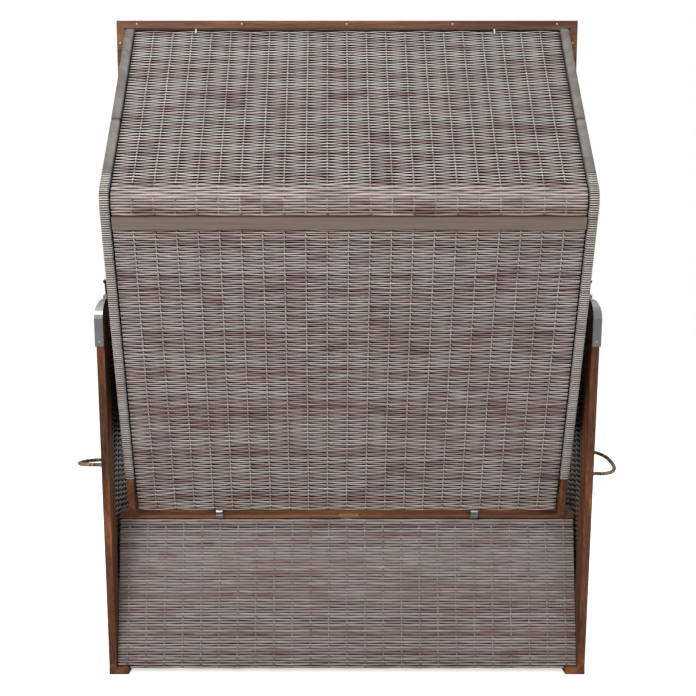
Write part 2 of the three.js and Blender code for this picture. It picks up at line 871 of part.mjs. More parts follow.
function railHinge(x) {
  const faceY = backRail.rearFace + gap;
  const half = hinge.knuckle / 2 + gap + hinge.ear;
  const middle = backRail.top - hinge.leafHeight / 2;
  const leaf = board(
    x - half, x + half, faceY, faceY + hinge.leaf, middle - hinge.leafHeight / 2, middle + hinge.leafHeight / 2,
  );
  const earAt = (sign) => x + sign * (hinge.knuckle / 2 + gap + hinge.ear / 2);
  const ears = [-1, 1].flatMap((sign) => [
    rodAlong("x", hinge.radius, hinge.ear, earAt(sign), hingeY, hingeZ, 16),
    board(
      earAt(sign) - hinge.ear / 2, earAt(sign) + hinge.ear / 2,
      faceY, hingeY, hingeZ - hinge.web / 2, hingeZ + hinge.web / 2,
    ),
  ]);
  const pin = rodAlong("x", hinge.pin - gap, half * 2, x, hingeY, hingeZ, 12);
  return join(leaf, ...ears, pin);
}

function hoodHinge(x) {
  const half = hinge.knuckle / 2;
  const knuckle = rodAlong("x", hinge.radius, hinge.knuckle, x, hingeY, hingeZ, 16);
  const plateTop = hood.panelStart - gap;
  const plateHalf = half + hinge.ear;
  const leaf = hoodBand(plateTop - hinge.leaf, plateTop, panelInner, battenInner, x - plateHalf, x + plateHalf);
  const under = hoodAt(plateTop - hinge.leaf / 2, panelInner + hinge.web);
  const web = fromSide(
    [
      [hingeY - hinge.web / 2, hingeZ + hinge.pin],
      [hingeY + hinge.web / 2, hingeZ + hinge.pin],
      [under[0] + hinge.web / 2, under[1]],
      [under[0] - hinge.web / 2, under[1]],
    ],
    x - half, x + half,
  );
  const bore = rodAlong("x", hinge.pin, hinge.knuckle + overrun, x, hingeY, hingeZ, 12);
  return subtract(join(knuckle, web, leaf), bore);
}

for (const side of sides) {
  add(`rail_hinge_${side.name}`, railHinge(side.sign * hinge.x), colour.steel, base);
  add(`hood_hinge_${side.name}`, hoodHinge(side.sign * hinge.x), colour.steel, hoodGroup);
}

const plateMiddle = (backRail.top + backRailBottom) / 2;
add(
  "rail_plate",
  board(
    plate.x - plate.width / 2, plate.x + plate.width / 2,
    backRail.rearFace + gap, backRail.rearFace + gap + plate.thickness,
    plateMiddle - plate.height / 2, plateMiddle + plate.height / 2,
  ),
  colour.brass, base,
);

// Recline bars and latch levers

const pivotY = (crestEnd + cornerY) / 2;
const capTop = wall.rearTop + gap + cap.thickness;
const pivotZ = capTop + lever.rise;
const pivotX = innerHalf + lever.inset;
const pawlAngle = Math.atan2(pivotY - hingeY, pivotZ - hingeZ);
const pawlReach = Math.hypot(pivotY - hingeY, pivotZ - hingeZ);
const barOuter = pawlReach - lever.pawl / 2 + lever.tipDrop;
const barInner = barOuter - bar.depth;
const barMiddle = (barOuter + barInner - bar.notchDepth) / 2;
const barX = hoodHalf + bar.offset;

const roundHinge = (angle, radius) => [hingeY + radius * Math.sin(angle), hingeZ + radius * Math.cos(angle)];
const frameYAt = (z) => frameY - (frameZ - z) * Math.tan(frame.lean);
const barFront = (() => {
  const z = hingeZ + barOuter;
  return Math.asin((frameYAt(z) + bar.frontGap - hingeY) / barOuter);
})();
const barRear = pawlAngle + bar.rearTail;
const barStep = (pawlAngle - barFront - bar.frontTail) / (bar.stops - 1);

// A flat bar with one notch for each stop in its outer edge.
function reclineBar() {
  const points = [];
  const floor = barOuter - bar.notchDepth;
  const half = bar.notch / 2 / barOuter;
  points.push(roundHinge(barRear, barInner), roundHinge(barRear, barOuter));
  for (let stop = 0; stop < bar.stops; stop++) {
    const middle = pawlAngle - stop * barStep;
    points.push(roundHinge(middle + half, barOuter), roundHinge(middle + half, floor));
    points.push(roundHinge(middle - half, floor), roundHinge(middle - half, barOuter));
    if (stop < bar.stops - 1) points.push(roundHinge(middle - barStep / 2, barOuter));
  }
  points.push(roundHinge(barFront, barOuter), roundHinge(barFront, barInner));
  const steps = 8;
  for (let i = 1; i < steps; i++) {
    points.push(roundHinge(barFront + ((barRear - barFront) * i) / steps, barInner));
  }
  const flat = fromSide(points.reverse(), barX, barX + bar.thickness);
  const spacerLength = barX - sideOuterX - gap + bar.thickness / 2;
  const spacers = [barFront, barRear].map((end, i) => {
    const inset = (bar.spacer + gap) / barMiddle;
    const [y, z] = roundHinge(i === 0 ? end + inset : end - inset, barMiddle);
    return rodAlong("x", bar.spacer, spacerLength, sideOuterX + gap + spacerLength / 2, y, z, 16);
  });
  return join(flat, ...spacers);
}

// The outline of the rear post's head, grown or shrunk, down to the end of the cap's leg.
const headLine = (grow) => [
  [rearAt(capBottom) + grow, capBottom],
  ...rearCorner(grow),
  [crestEnd, wall.rearTop + grow],
];

function postCap() {
  const outerX = outerHalf + gap + cap.thickness;
  const outside = fromSide([...headLine(gap + cap.thickness), ...headLine(-cap.flange).reverse()], innerHalf + cap.inset, outerX);
  const shell = intersect(outside, underRound(gap + cap.thickness));
  const within = intersect(
    fromSide([
      [rearAt(capBottom - overrun) + gap, capBottom - overrun],
      ...headLine(gap).slice(1),
      [crestEnd - overrun, wall.rearTop + gap],
      [crestEnd - overrun, capBottom - overrun],
    ], innerHalf - overrun, outerHalf + gap),
    underRound(gap),
  );
  const ears = [-1, 1].map((sign) => {
    const y = pivotY + sign * (lever.hubLength / 2 + gap + cap.earThickness / 2);
    const z = pivotZ - lever.rise - cap.thickness / 2;
    return join(
      board(
        pivotX - cap.earHalf / 2, pivotX + cap.earHalf,
        y - cap.earThickness / 2, y + cap.earThickness / 2, z, pivotZ,
      ),
      rodAlong("y", cap.earHalf / 2 + gap, cap.earThickness, pivotX, y, pivotZ, 12),
    );
  });
  const pin = rodAlong("y", lever.pin, lever.hubLength + cap.earThickness * 2, pivotX, pivotY, pivotZ, 10);
  return join(subtract(shell, within), ...ears, pin);
}

function latchLever() {
  const hub = rodAlong("y", lever.hub, lever.hubLength, pivotX, pivotY, pivotZ, 16);
  const rod = new THREE.CylinderGeometry(lever.rod, lever.rod, lever.rodLength, 12);
  rod.rotateX(Math.PI / 2).translate(0, 0, lever.rodLength / 2);
  const ball = new THREE.SphereGeometry(lever.ball, 16, 10).translate(0, 0, lever.rodLength);
  const stem = join(rod, ball).rotateY(lever.lean).translate(pivotX, pivotY, pivotZ);
  const pawl = board(
    barX, pivotX, pivotY - lever.pawlThickness / 2, pivotY + lever.pawlThickness / 2,
    pivotZ - lever.pawl / 2, pivotZ + lever.pawl / 2,
  );
  const bore = rodAlong("y", lever.pin + gap, lever.hubLength + overrun, pivotX, pivotY, pivotZ, 10);
  return subtract(join(hub, stem, pawl), bore);
}

for (const side of sides) {
  add(`recline_bar_${side.name}`, onSide(reclineBar(), side), colour.steel, hoodGroup);
  add(`post_cap_${side.name}`, onSide(postCap(), side), colour.steel, base);
  const leverGroup = new THREE.Group();
  chair.add(leverGroup);
  add(`latch_lever_${side.name}`, onSide(latchLever(), side), colour.steel, leverGroup);
}

// Armrests and side tables

function armrestBoard() {
  const rear = wall.armRear - armrest.rearGap;
  const front = wall.frontFace - armrest.frontOverhang;
  const geometry = roundedBoard(armrest.width, rear - front, armrest.thickness, armrest.corner, armrest.edge);
  const x = outerHalf + armrest.overhang - armrest.width / 2;
  return geometry.translate(x, (front + rear) / 2, wall.armTop + gap);
}

for (const side of sides) {
  add(`armrest_${side.name}`, onSide(armrestBoard(), side), colour.mahogany, base);
  const tableGroup = new THREE.Group();
  chair.add(tableGroup);
  add(`side_table_${side.name}`, onSide(sideTable(), side), colour.mahogany, tableGroup);
}

// Carrying handles

const handleAxisX = outerHalf + gap + handle.plate + handle.eye;
const handleMiddle = (handle.near + handle.far) / 2;
const handleHalf = (handle.near - handle.far) / 2;

// The rope swings out level; its front end stands higher or lower than its rear end by the tilt.
function handleTurn(geometry, tilt) {
  return geometry
    .translate(0, -handleMiddle, -handle.z)
    .rotateX(Math.atan2(-tilt, handleHalf))
    .translate(0, handleMiddle, handle.z);
}

function ropeHandle(tilt) {
  const tip = outerHalf + handle.reach - handle.radius;
  const reach = tip - handleAxisX;
  const endShares = [[0.07, 1], [0.4, 1.02], [0.72, 0.88], [0.94, 0.52], [1, 0]];
  const half = endShares.map(([out, along]) => [handleAxisX + out * reach, along * handleHalf]);
  const points = [
    ...half.map(([x, y]) => new THREE.Vector3(x, handleMiddle - y, handle.z)),
    ...half.slice(0, -1).reverse().map(([x, y]) => new THREE.Vector3(x, handleMiddle + y, handle.z)),
  ];
  const section = new THREE.Shape();
  section.absarc(0, 0, handle.radius, 0, Math.PI * 2);
  const rope = new THREE.ExtrudeGeometry(section, {
    steps: 22, curveSegments: 4, extrudePath: new THREE.CatmullRomCurve3(points),
  });
  const eyes = [-1, 1].map((sign) => rodAlong(
    "y", handle.eye - gap, handle.eyeLength, handleAxisX, handleMiddle + sign * handleHalf, handle.z, 16,
  ));
  const bores = [-1, 1].map((sign) => rodAlong(
    "y", handle.pin + gap, handle.eyeLength + handle.eye, handleAxisX, handleMiddle + sign * handleHalf, handle.z, 12,
  ));
  return handleTurn(subtract(join(rope, ...eyes), ...bores), tilt);
}

function handlePlate(tilt) {
  const half = handleHalf + handle.eyeLength / 2 + gap + handle.lug;
  const face = outerHalf + gap;
  const strip = board(
    face, face + handle.plate, handleMiddle - half, handleMiddle + half,
    handle.z - handle.plateWidth / 2, handle.z + handle.plateWidth / 2,
  );
  const lugs = [-1, 1].flatMap((sign) => [-1, 1].flatMap((end) => {
    const eye = handleMiddle + sign * handleHalf;
    const y = eye + end * (handle.eyeLength / 2 + gap + handle.lug / 2);
    return [
      board(
        face, handleAxisX, y - handle.lug / 2, y + handle.lug / 2,
        handle.z - handle.pin * 2, handle.z + handle.pin * 2,
      ),
      rodAlong("y", handle.pin * 2, handle.lug, handleAxisX, y, handle.z, 12),
    ];
  }));
  const pins = [-1, 1].map((sign) => rodAlong(
    "y", handle.pin, handle.eyeLength + handle.lug * 2, handleAxisX, handleMiddle + sign * handleHalf, handle.z, 12,
  ));
  return handleTurn(join(strip, ...lugs, ...pins), tilt);
}

for (const side of sides) {
  const tilt = handleTilt[side.name];
  add(`handle_plate_${side.name}`, onSide(handlePlate(tilt), side), colour.steel, base);
  const handleGroup = new THREE.Group();
  chair.add(handleGroup);
  add(`rope_handle_${side.name}`, onSide(ropeHandle(tilt), side), colour.rope, handleGroup);
}

// Cushions

// Lies with its flat side on z = 0, crowned on top, with its sides drawn in between the corners.
function cushionBody(width, length, height, crown, channelShares) {
  const [halfWidth, halfLength] = [width / 2, length / 2];
  const lines = 10;
  const across = Array.from({ length: lines + 1 }, (_, i) => (i / lines) * 2 - 1);
  const channelHalf = cushion.channel / length;
  const along = [...across.filter((v) => channelShares.every((share) => Math.abs(v - share) > channelHalf * 3))];
  for (const share of channelShares) along.push(share - channelHalf, share, share + channelHalf);
  along.sort((a, b) => a - b);

  const plan = (u, v, inset) => {
    const corner = 1 - cushion.roundShare * Math.abs(u) ** 8 * Math.abs(v) ** 8;
    const x = (halfWidth - inset) * u * corner - cushion.drawIn * u ** 3 * (1 - v ** 2);
    const y = (halfLength - inset) * v * corner - cushion.drawIn * v ** 3 * (1 - u ** 2);
    return [x, y];
  };
  const positions = [];
  const indices = [];
  const point = (x, y, z) => positions.push(x, y, z) / 3 - 1;
  const topEdge = height - crown;
  const topIndex = along.map((v) => across.map((u) => {
    const groove = channelShares.includes(v) ? cushion.channelDepth * (1 - u ** 6) : 0;
    const [x, y] = plan(u, v, cushion.drawIn);
    return point(x, y, topEdge + crown * (1 - u ** 2) * (1 - v ** 4) - groove);
  }));
  for (let j = 0; j < along.length - 1; j++) {
    for (let i = 0; i < lines; i++) {
      const [a, b] = [topIndex[j][i], topIndex[j][i + 1]];
      const [c, d] = [topIndex[j + 1][i], topIndex[j + 1][i + 1]];
      indices.push(a, b, d, a, d, c);
    }
  }
  const rim = [];
  const last = along.length - 1;
  for (let i = 0; i < lines; i++) rim.push([across[i], along[0], topIndex[0][i]]);
  for (let j = 0; j < last; j++) rim.push([1, along[j], topIndex[j][lines]]);
  for (let i = lines; i > 0; i--) rim.push([across[i], along[last], topIndex[last][i]]);
  for (let j = last; j > 0; j--) rim.push([-1, along[j], topIndex[j][0]]);
  const ringShares = [[0, 0.78], [0, 0.24], [1, 0]];
  let above = rim.map(([, , index]) => index);
  for (const [inset, share] of ringShares) {
    const ring = rim.map(([u, v]) => point(...plan(u, v, inset * cushion.drawIn), topEdge * share));
    for (let i = 0; i < ring.length; i++) {
      const next = (i + 1) % ring.length;
      indices.push(above[i], ring[i], ring[next], above[i], ring[next], above[next]);
    }
    above = ring;
  }
  const centre = point(0, 0, 0);
  for (let i = 0; i < above.length; i++) indices.push(above[i], centre, above[(i + 1) % above.length]);
  const geometry = new THREE.BufferGeometry();
  geometry.setAttribute("position", new THREE.Float32BufferAttribute(positions, 3));
  geometry.setIndex(indices);
  geometry.computeVertexNormals();
  return geometry;
}

const backCushionOuter = sideInnerX - cushion.sideGap;
const backCushionWidth = backCushionOuter - cushion.between / 2;
const seatCushionWidth = clear - cushion.sideGap - cushion.between / 2;
const seatCushionRear = seat.rearEnd - cushion.sideGap;
const seatCushionLength = seatCushionRear - seatFront - cushion.sideGap;
const seatChannelShares = [0];
const backChannelShares = [-0.4, 0.3];

function backCushion() {
  const middle = cushion.backStart + cushion.backLength / 2;
  const [y, z] = hoodAt(middle, battenInner + gap);
  return cushionBody(backCushionWidth, cushion.backLength, cushion.backHeight, cushion.crown, backChannelShares)
    .rotateX(Math.PI / 2 - hood.backLean)
    .translate(cushion.between / 2 + backCushionWidth / 2, y, z);
}

function seatCushion() {
  return cushionBody(seatCushionWidth, seatCushionLength, cushion.seatHeight, cushion.crown, seatChannelShares)
    .translate(
      cushion.between / 2 + seatCushionWidth / 2,
      seatCushionRear - seatCushionLength / 2,
      seat.top + gap,
    );
}

for (const side of sides) {
  add(`seat_cushion_${side.name}`, onSide(seatCushion(), side), colour.fabric, base);
  add(`back_cushion_${side.name}`, onSide(backCushion(), side), colour.fabric, hoodGroup);
}

// Footrests: boxes on runners that draw out from under the seat

const footInner = bayInner + footrest.side;
const footOuter = clear - footrest.side;
const footBoardUnder = footrest.boardTop - footrest.board;
const footWallBottom = footBoardUnder - footrest.wallHeight;

function footrestBox() {
  const panelTop = seat.top - seat.frontRailHeight - gap;
  const panelRear = seatFront + footrest.front;
  const rear = seatFront + footrest.depth;
  const grip = roundedBoard(footrest.grip, footrest.gripHeight, footrest.front + overrun, footrest.gripHeight / 2, 0)
    .rotateX(Math.PI / 2)
    .translate((footInner + footOuter) / 2, panelRear + overrun / 2, panelTop - footrest.gripDrop);
  const box = join(
    board(footrest.frontGap, footOuter, seatFront, panelRear, footrest.bottom, panelTop),
    board(footInner, footOuter, panelRear - gap, rear, footBoardUnder, footrest.boardTop),
    board(footInner, footInner + footrest.wall, panelRear - gap, rear, footWallBottom, footBoardUnder + gap),
    board(footOuter - footrest.wall, footOuter, panelRear - gap, rear, footWallBottom, footBoardUnder + gap),
  );
  return subtract(box, grip);
}

function footCushion() {
  const width = footOuter - footInner - footrest.wall * 2;
  const front = seatFront + footrest.front + cushion.tuck;
  const length = footrest.depth - footrest.front - cushion.sideGap;
  return cushionBody(width, length, cushion.footHeight, cushion.crown, seatChannelShares)
    .translate((footInner + footOuter) / 2, front + length / 2, footrest.boardTop + gap);
}

for (const side of sides) {
  const footGroup = new THREE.Group();
  chair.add(footGroup);
  add(`footrest_${side.name}`, onSide(footrestBox(), side), colour.mahogany, footGroup);
  add(`foot_cushion_${side.name}`, onSide(footCushion(), side), colour.fabric, footGroup);
}

// Awning, drawn level from its pivot and then turned to stand out square to the front frame

const bowOuterX = boardInnerX - awning.sideGap;
const bowInnerX = bowOuterX - awning.thickness;
const awningFront = -awning.arm;

function placeAwning(geometry) {
  return geometry.rotateX(-frame.lean).translate(0, awningY, awningZ);
}

function awningBow() {
  const half = awning.armWidth / 2;
  const pieces = sides.map((side) => {
    const arm = fromSide(
      [...arc(0, 0, half, -Math.PI / 2, Math.PI / 2, 8), [awningFront, half], [awningFront, -half]],
      bowInnerX, bowOuterX,
    );
    const pinEnd = boardInnerX + awning.pinLength;
    const pin = rodAlong("x", awning.pin, pinEnd - bowInnerX, (pinEnd + bowInnerX) / 2, 0, 0, 12);
    return onSide(join(arm, pin), side);
  });
  const batten = board(
    -bowOuterX, bowOuterX, awningFront - awning.thickness, awningFront + gap,
    -awning.batten / 2, awning.batten / 2,
  );
  return placeAwning(join(batten, ...pieces));
}

// The cloth hangs a little between the batten and the bow's pivots, and is caught under each arm.
function awningCloth() {
  const steps = 10;
  const reach = awning.arm - awning.clothStart - awning.clothEnd;
  const at = (i, lift) => {
    const share = i / steps;
    const y = -awning.clothStart - reach * share;
    return [y, lift - awning.sag * 4 * share * (1 - share)];
  };
  const lower = Array.from({ length: steps + 1 }, (_, i) => at(i, 0));
  const upper = Array.from({ length: steps + 1 }, (_, i) => at(i, awning.cloth));
  return placeAwning(fromSide([...lower.reverse(), ...upper], -bowInnerX + gap, bowInnerX - gap));
}

const awningGroup = new THREE.Group();
chair.add(awningGroup);
add("awning_bow", awningBow(), colour.mahogany, awningGroup);
add("awning_cloth", awningCloth(), colour.fabric, awningGroup);

// The origin is under the middle of the whole chair, on the ground.
const whole = new THREE.Box3().setFromObject(chair);
chair.position.y = -(whole.min.y + whole.max.y) / 2;
chair.updateMatrixWorld(true);

export default chair;
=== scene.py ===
import math
import bpy
import numpy as np
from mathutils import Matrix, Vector


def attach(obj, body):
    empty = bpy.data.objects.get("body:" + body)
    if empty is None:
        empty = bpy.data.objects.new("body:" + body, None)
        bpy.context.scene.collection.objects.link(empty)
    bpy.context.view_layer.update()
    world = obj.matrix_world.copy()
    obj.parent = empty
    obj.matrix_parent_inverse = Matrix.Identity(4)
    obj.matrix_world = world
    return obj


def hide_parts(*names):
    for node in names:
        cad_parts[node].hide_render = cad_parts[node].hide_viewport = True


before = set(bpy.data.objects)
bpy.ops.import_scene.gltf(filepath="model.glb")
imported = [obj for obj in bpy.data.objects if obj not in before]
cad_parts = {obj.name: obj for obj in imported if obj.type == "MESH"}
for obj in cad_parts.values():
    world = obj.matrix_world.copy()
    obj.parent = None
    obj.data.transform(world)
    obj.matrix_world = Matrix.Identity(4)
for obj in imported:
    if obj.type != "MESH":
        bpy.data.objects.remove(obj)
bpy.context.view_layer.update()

# The frame is in metres: x across the seat, y to the rear, z up. Sizes below are in millimetres until
# they become points; the chair's own y = 0, near the hood's hinge, lies rearShift behind the frame's.
rearShift = 112.774
scene = bpy.context.scene
scene.view_settings.view_transform = "Standard"
sides = (("left", 1), ("right", -1))
black, white = (0, 0, 0, 1), (1, 1, 1, 1)


def metres(x, y, z):
    return np.stack(np.broadcast_arrays(x, np.asarray(y) + rearShift, z), axis=-1) / 1000


def pick(thing=None):
    # Selects one object alone, or nothing.
    bpy.ops.object.select_all(action="DESELECT")
    if thing:
        thing.select_set(True)
        bpy.context.view_layer.objects.active = thing


def settle(thing):
    # Puts an object's place, turn and size into its mesh.
    pick(thing)
    bpy.ops.object.transform_apply(location=True, rotation=True, scale=True)


def editMesh(thing, *steps):
    # Runs mesh operators on everything in one object.
    pick(thing)
    bpy.ops.object.mode_set(mode="EDIT")
    bpy.ops.mesh.select_all(action="SELECT")
    for step in steps:
        step()
    bpy.ops.object.mode_set(mode="OBJECT")


def facesOut():
    bpy.ops.mesh.normals_make_consistent(inside=False)


# Camera, light and floor, in metres and watts.
view = {"x": 0.04, "y": 2.752, "z": 0.926, "lens": 54.4, "shiftX": 0.0245, "shiftY": -0.0668}
lamps = {
    "key": {"place": (1.6, 3.4, 3.0), "target": (0, 0.2, 0.8), "power": 92, "size": 1.6},
    "fill": {"place": (-2.6, 2.4, 1.6), "target": (0, 0.2, 0.7), "power": 12, "size": 2.4},
    "top": {"place": (0, 0.6, 4.2), "target": (0, 0.2, 0.8), "power": 58, "size": 3.0},
    "front": {"place": (-0.9, -3.4, 2.2), "target": (0, 0, 0.7), "power": 34, "size": 2.2},
}
ground = {"world": 0.34, "floor": (0.9, 0.9, 0.9, 1), "glow": 0.7, "size": 30, "coveredY": -0.17,
          "coveredHalf": (0.56, 0.25)}


def makeCamera():
    camera = bpy.data.objects.new("camera", bpy.data.cameras.new("camera"))
    camera.data.lens = view["lens"]
    camera.data.sensor_width = 36
    camera.data.shift_x = view["shiftX"]
    camera.data.shift_y = view["shiftY"]
    camera.location = (view["x"], view["y"], view["z"])
    camera.rotation_euler = (math.radians(90), 0, math.radians(180))
    scene.collection.objects.link(camera)
    scene.camera = camera


def hangLamps():
    for name, size in lamps.items():
        lamp = bpy.data.lights.new(name, "AREA")
        lamp.energy = size["power"]
        lamp.size = size["size"]
        thing = bpy.data.objects.new(name, lamp)
        thing.location = size["place"]
        aim = Vector(size["target"]) - Vector(size["place"])
        thing.rotation_euler = aim.to_track_quat("-Z", "Y").to_euler()
        scene.collection.objects.link(thing)


class Socket:
    # Wraps an output socket, so that sums on it add Math nodes.
    def __init__(self, nodes, socket):
        self.nodes = nodes
        self.socket = socket

    def math(self, operation, *others):
        return self.nodes.node("ShaderNodeMath", {"operation": operation}, self, *others)

    def __add__(self, other):
        return self.math("ADD", other)

    def __sub__(self, other):
        return self.math("SUBTRACT", other)

    def __rsub__(self, other):
        return self.nodes.node("ShaderNodeMath", {"operation": "SUBTRACT"}, other, self)

    def __mul__(self, other):
        return self.math("MULTIPLY", other)

    def __truediv__(self, other):
        return self.math("DIVIDE", other)

    __radd__ = __add__
    __rmul__ = __mul__


class Nodes:
    # A node tree, and the one way to add a node: its settings first, then what goes into its sockets.
    def __init__(self, tree):
        self.tree = tree

    def node(self, kind, settings=None, *inputs, out=0, **named):
        node = self.tree.nodes.new(kind)
        for key, value in (settings or {}).items():
            if key == "stops":
                self.setStops(node.color_ramp, value)
            else:
                setattr(node, key, value)
        for index, value in enumerate(inputs):
            self.plug(node.inputs[index], value)
        for key, value in named.items():
            self.plug(node.inputs[key.replace("_", " ")], value)
        return Socket(self, node.outputs[out])

    def setStops(self, ramp, stops):
        while len(ramp.elements) < len(stops):
            ramp.elements.new(1)
        for element, (place, colour) in zip(ramp.elements, stops):
            element.position = place
            element.color = colour

    def plug(self, target, value):
        if isinstance(value, Socket):
            self.tree.links.new(value.socket, target)
        else:
            target.default_value = value


class Paint(Nodes):
    # One material, with helpers for the nodes that most materials share.
    def __init__(self, name):
        self.material = bpy.data.materials.new(name)
        self.material.use_nodes = True
        super().__init__(self.material.node_tree)
        self.shader = self.tree.nodes["Principled BSDF"]

    def set(self, **values):
        for key, value in values.items():
            self.plug(self.shader.inputs[key.replace("_", " ")], value)

    def where(self):
        return self.node("ShaderNodeTexCoord", out="Object")

    def axis(self, number):
        return self.node("ShaderNodeSeparateXYZ", None, self.where(), out=number)

    def place(self, scale=(1, 1, 1)):
        return self.node("ShaderNodeMapping", None, self.where(), Scale=scale)

    def noise(self, where, scale, detail=3, rough=0.5, distort=0):
        return self.node("ShaderNodeTexNoise", None, where, Scale=scale, Detail=detail, Roughness=rough,
                         Distortion=distort)

    def ramp(self, factor, *stops):
        return self.node("ShaderNodeValToRGB", {"stops": stops}, factor)

    def mix(self, factor, first, second):
        mixed = self.node("ShaderNodeMix", {"data_type": "RGBA"}, factor, out=2)
        for index, colour in ((6, first), (7, second)):
            self.plug(mixed.socket.node.inputs[index], colour)
        return mixed

    def bump(self, height, strength, distance):
        return self.node("ShaderNodeBump", None, Height=height, Strength=strength, Distance=distance)

    def attribute(self, name):
        return self.node("ShaderNodeAttribute", {"attribute_name": name}, out="Fac")

    def vector(self, x, y, z):
        return self.node("ShaderNodeCombineXYZ", None, x, y, z)


def linear(*screen):
    # A colour written as it shows on screen, 0 to 255, as the shader wants it.
    shares = [value / 255 for value in screen]
    return (*[share / 12.92 if share <= 0.04045 else ((share + 0.055) / 1.055) ** 2.4 for share in shares], 1)


def studio():
    # Light Path gives camera and gloss a white surrounding, apart from the light that falls on the chair.
    world = bpy.data.worlds.new("studio")
    scene.world = world
    world.use_nodes = True
    sky = Nodes(world.node_tree)
    backdrop = sky.tree.nodes["Background"]
    sky.plug(backdrop.inputs[0], white)
    sky.plug(backdrop.inputs[1], ground["world"])
    seen = sky.node("ShaderNodeBackground", None, white, 1)
    watched = sky.node("ShaderNodeLightPath", out="Is Camera Ray")
    mirrored = sky.node("ShaderNodeLightPath", out="Is Glossy Ray")
    chosen = sky.node("ShaderNodeMixShader", None, watched.math("MAXIMUM", mirrored),
                      Socket(sky, backdrop.outputs[0]), seen)
    sky.plug(sky.tree.nodes["World Output"].inputs[0], chosen)
    hangLamps()
    pick()
    bpy.ops.mesh.primitive_plane_add(size=ground["size"], location=(0, 0, 0))
    floor = bpy.context.object
    floor.name = "studio_floor"
    # The camera sees the floor as white as the background, with the chair's shadow on it. Under the chair the
    # glow is left out, so that patch stays darker: a painted shadow.
    paint = Paint("floor")
    watched = paint.node("ShaderNodeLightPath", out="Is Camera Ray")
    halfX, halfY = ground["coveredHalf"]
    aside = paint.axis(0).math("ABSOLUTE") / halfX
    away = (paint.axis(1) - ground["coveredY"]).math("ABSOLUTE") / halfY
    outside = paint.ramp(aside.math("MAXIMUM", away) - 0.5, (0.44, black), (0.56, white))
    glow = paint.mix(watched * outside, black, white)
    paint.set(Base_Color=ground["floor"], Roughness=0.9)
    paint.set(Emission_Color=glow, Emission_Strength=ground["glow"])
    floor.data.materials.append(paint.material)
    print("Studio ready")


# Woven strand. looks gives each part's lightness, the strength of its painted shade at strand edges, and of
# its stains.
wicker = {
    "tones": (
        (0.0, (112, 84, 78)), (0.2, (150, 124, 116)), (0.36, (178, 162, 154)), (0.5, (206, 194, 188)),
        (0.62, (184, 172, 164)), (0.76, (214, 202, 196)), (0.88, (200, 182, 152)), (1.0, (216, 205, 199)),
    ),
    "stain": (138, 92, 94), "paintedShade": (18, 12, 9), "streak": (104, 84, 74), "streakShare": 0.3,
    "spacing": 0.0476, "roughness": 0.42,
    "looks": {"back": (1.16, 0.98, 0.6), "knee": (1.12, 0.78, 0.7), "roof": (1.28, 0.98, 0.6),
              "base": (0.92, 0.55, 0.38), "wall": (0.98, 0.75, 0.5), "rim": (1.3, 0.97, 0.25)},
}
# How fast each pattern changes: along the strand, from stake to stake, from row to row, or along x, y and z.
wickerPace = {"patch": (9, 30, 30), "spots": (17, 62, 62), "bands": (5, 48, 48),
              "driftAlong": 7, "driftRow": 61, "lighterStake": 5.3, "lighterRow": 34,
              "tintedStake": 3.7, "tintedRow": 30,
              "fineAlong": 30, "fineAround": 9, "fineRow": 40, "fineTurn": 90}


def strandMaterial(kind, across=0):
    # Flat synthetic strand: each strand has its tone, which drifts along it and changes from stake to stake,
    # with fine lengthwise streaks and here and there a stain that runs over several rows. The edge attribute
    # paints shade into the gaps, onto the strands' edges and lower sides and onto the walls' inner faces.
    shade, paintedShade, stain = wicker["looks"][kind]
    pace = wickerPace
    paint = Paint(f"wicker_{kind}")
    row, along, around, edge = [paint.attribute(name) for name in ("row", "along", "around", "edge")]
    height = paint.axis(2)
    column = (paint.axis(across) / wicker["spacing"]).math("FLOOR")
    drift = paint.noise(paint.vector(along * pace["driftAlong"], row * pace["driftRow"], 0), 1, 2)
    patch = paint.noise(paint.place(pace["patch"]), 1, 2)
    lighter = paint.noise(paint.vector(column * pace["lighterStake"], height * pace["lighterRow"], 3), 1, 1)
    tinted = paint.noise(paint.vector(column * pace["tintedStake"], height * pace["tintedRow"], 0), 1, 1)
    tone = row * 0.42 + drift * 0.5 + patch * 0.22 + lighter * 0.28 - 0.24
    stops = [(place, [min(255, value * shade) for value in colour]) for place, colour in wicker["tones"]]
    colour = paint.ramp(tone, *[(place, linear(*colour)) for place, colour in stops])
    spots = paint.noise(paint.place(pace["spots"]), 1, 1)
    bands = paint.noise(paint.place(pace["bands"]), 1, 1)
    spread = paint.ramp(spots * 0.25 + bands * 0.3 + tinted * 0.45, (0.51, black), (0.64, white))
    colour = paint.mix(spread * stain, colour, linear(*wicker["stain"]))
    swirl = paint.vector(along * pace["fineAlong"], around * pace["fineAround"] + row * pace["fineRow"],
                         row * pace["fineTurn"])
    fine = paint.noise(swirl, 1, 3, 0.6)
    streak = paint.ramp(fine, (0.36, white), (0.6, black))
    colour = paint.mix(streak * wicker["streakShare"], colour, linear(*wicker["streak"]))
    # Painted shade: corners deep in the weave, the strands' lower sides and the walls' inner faces are mixed
    # towards the near-black shade colour.
    soilAndShade = paint.ramp(edge, (0.42, black), (0.86, white))
    colour = paint.mix(soilAndShade * paintedShade, colour, linear(*wicker["paintedShade"]))
    paint.set(Base_Color=colour, Roughness=wicker["roughness"] - (fine - 0.5) * 0.2, Specular_IOR_Level=0.22)
    paint.set(Normal=paint.bump(fine, 0.25, 0.0006))
    return paint.material


# The hood's line: its rear surface, walked from the hinge over the knee to the front frame.
hoodLine = {
    "startY": 0.5, "startZ": 388, "lean": math.radians(24.7), "backLength": 817, "kneeRadius": 50,
    "roofLow": math.radians(36.9), "roofHigh": math.radians(33), "roofLength": 512,
}
kneeEnd = hoodLine["backLength"] + hoodLine["kneeRadius"] * (hoodLine["lean"] + hoodLine["roofLow"])
hoodEnd = kneeEnd + hoodLine["roofLength"]


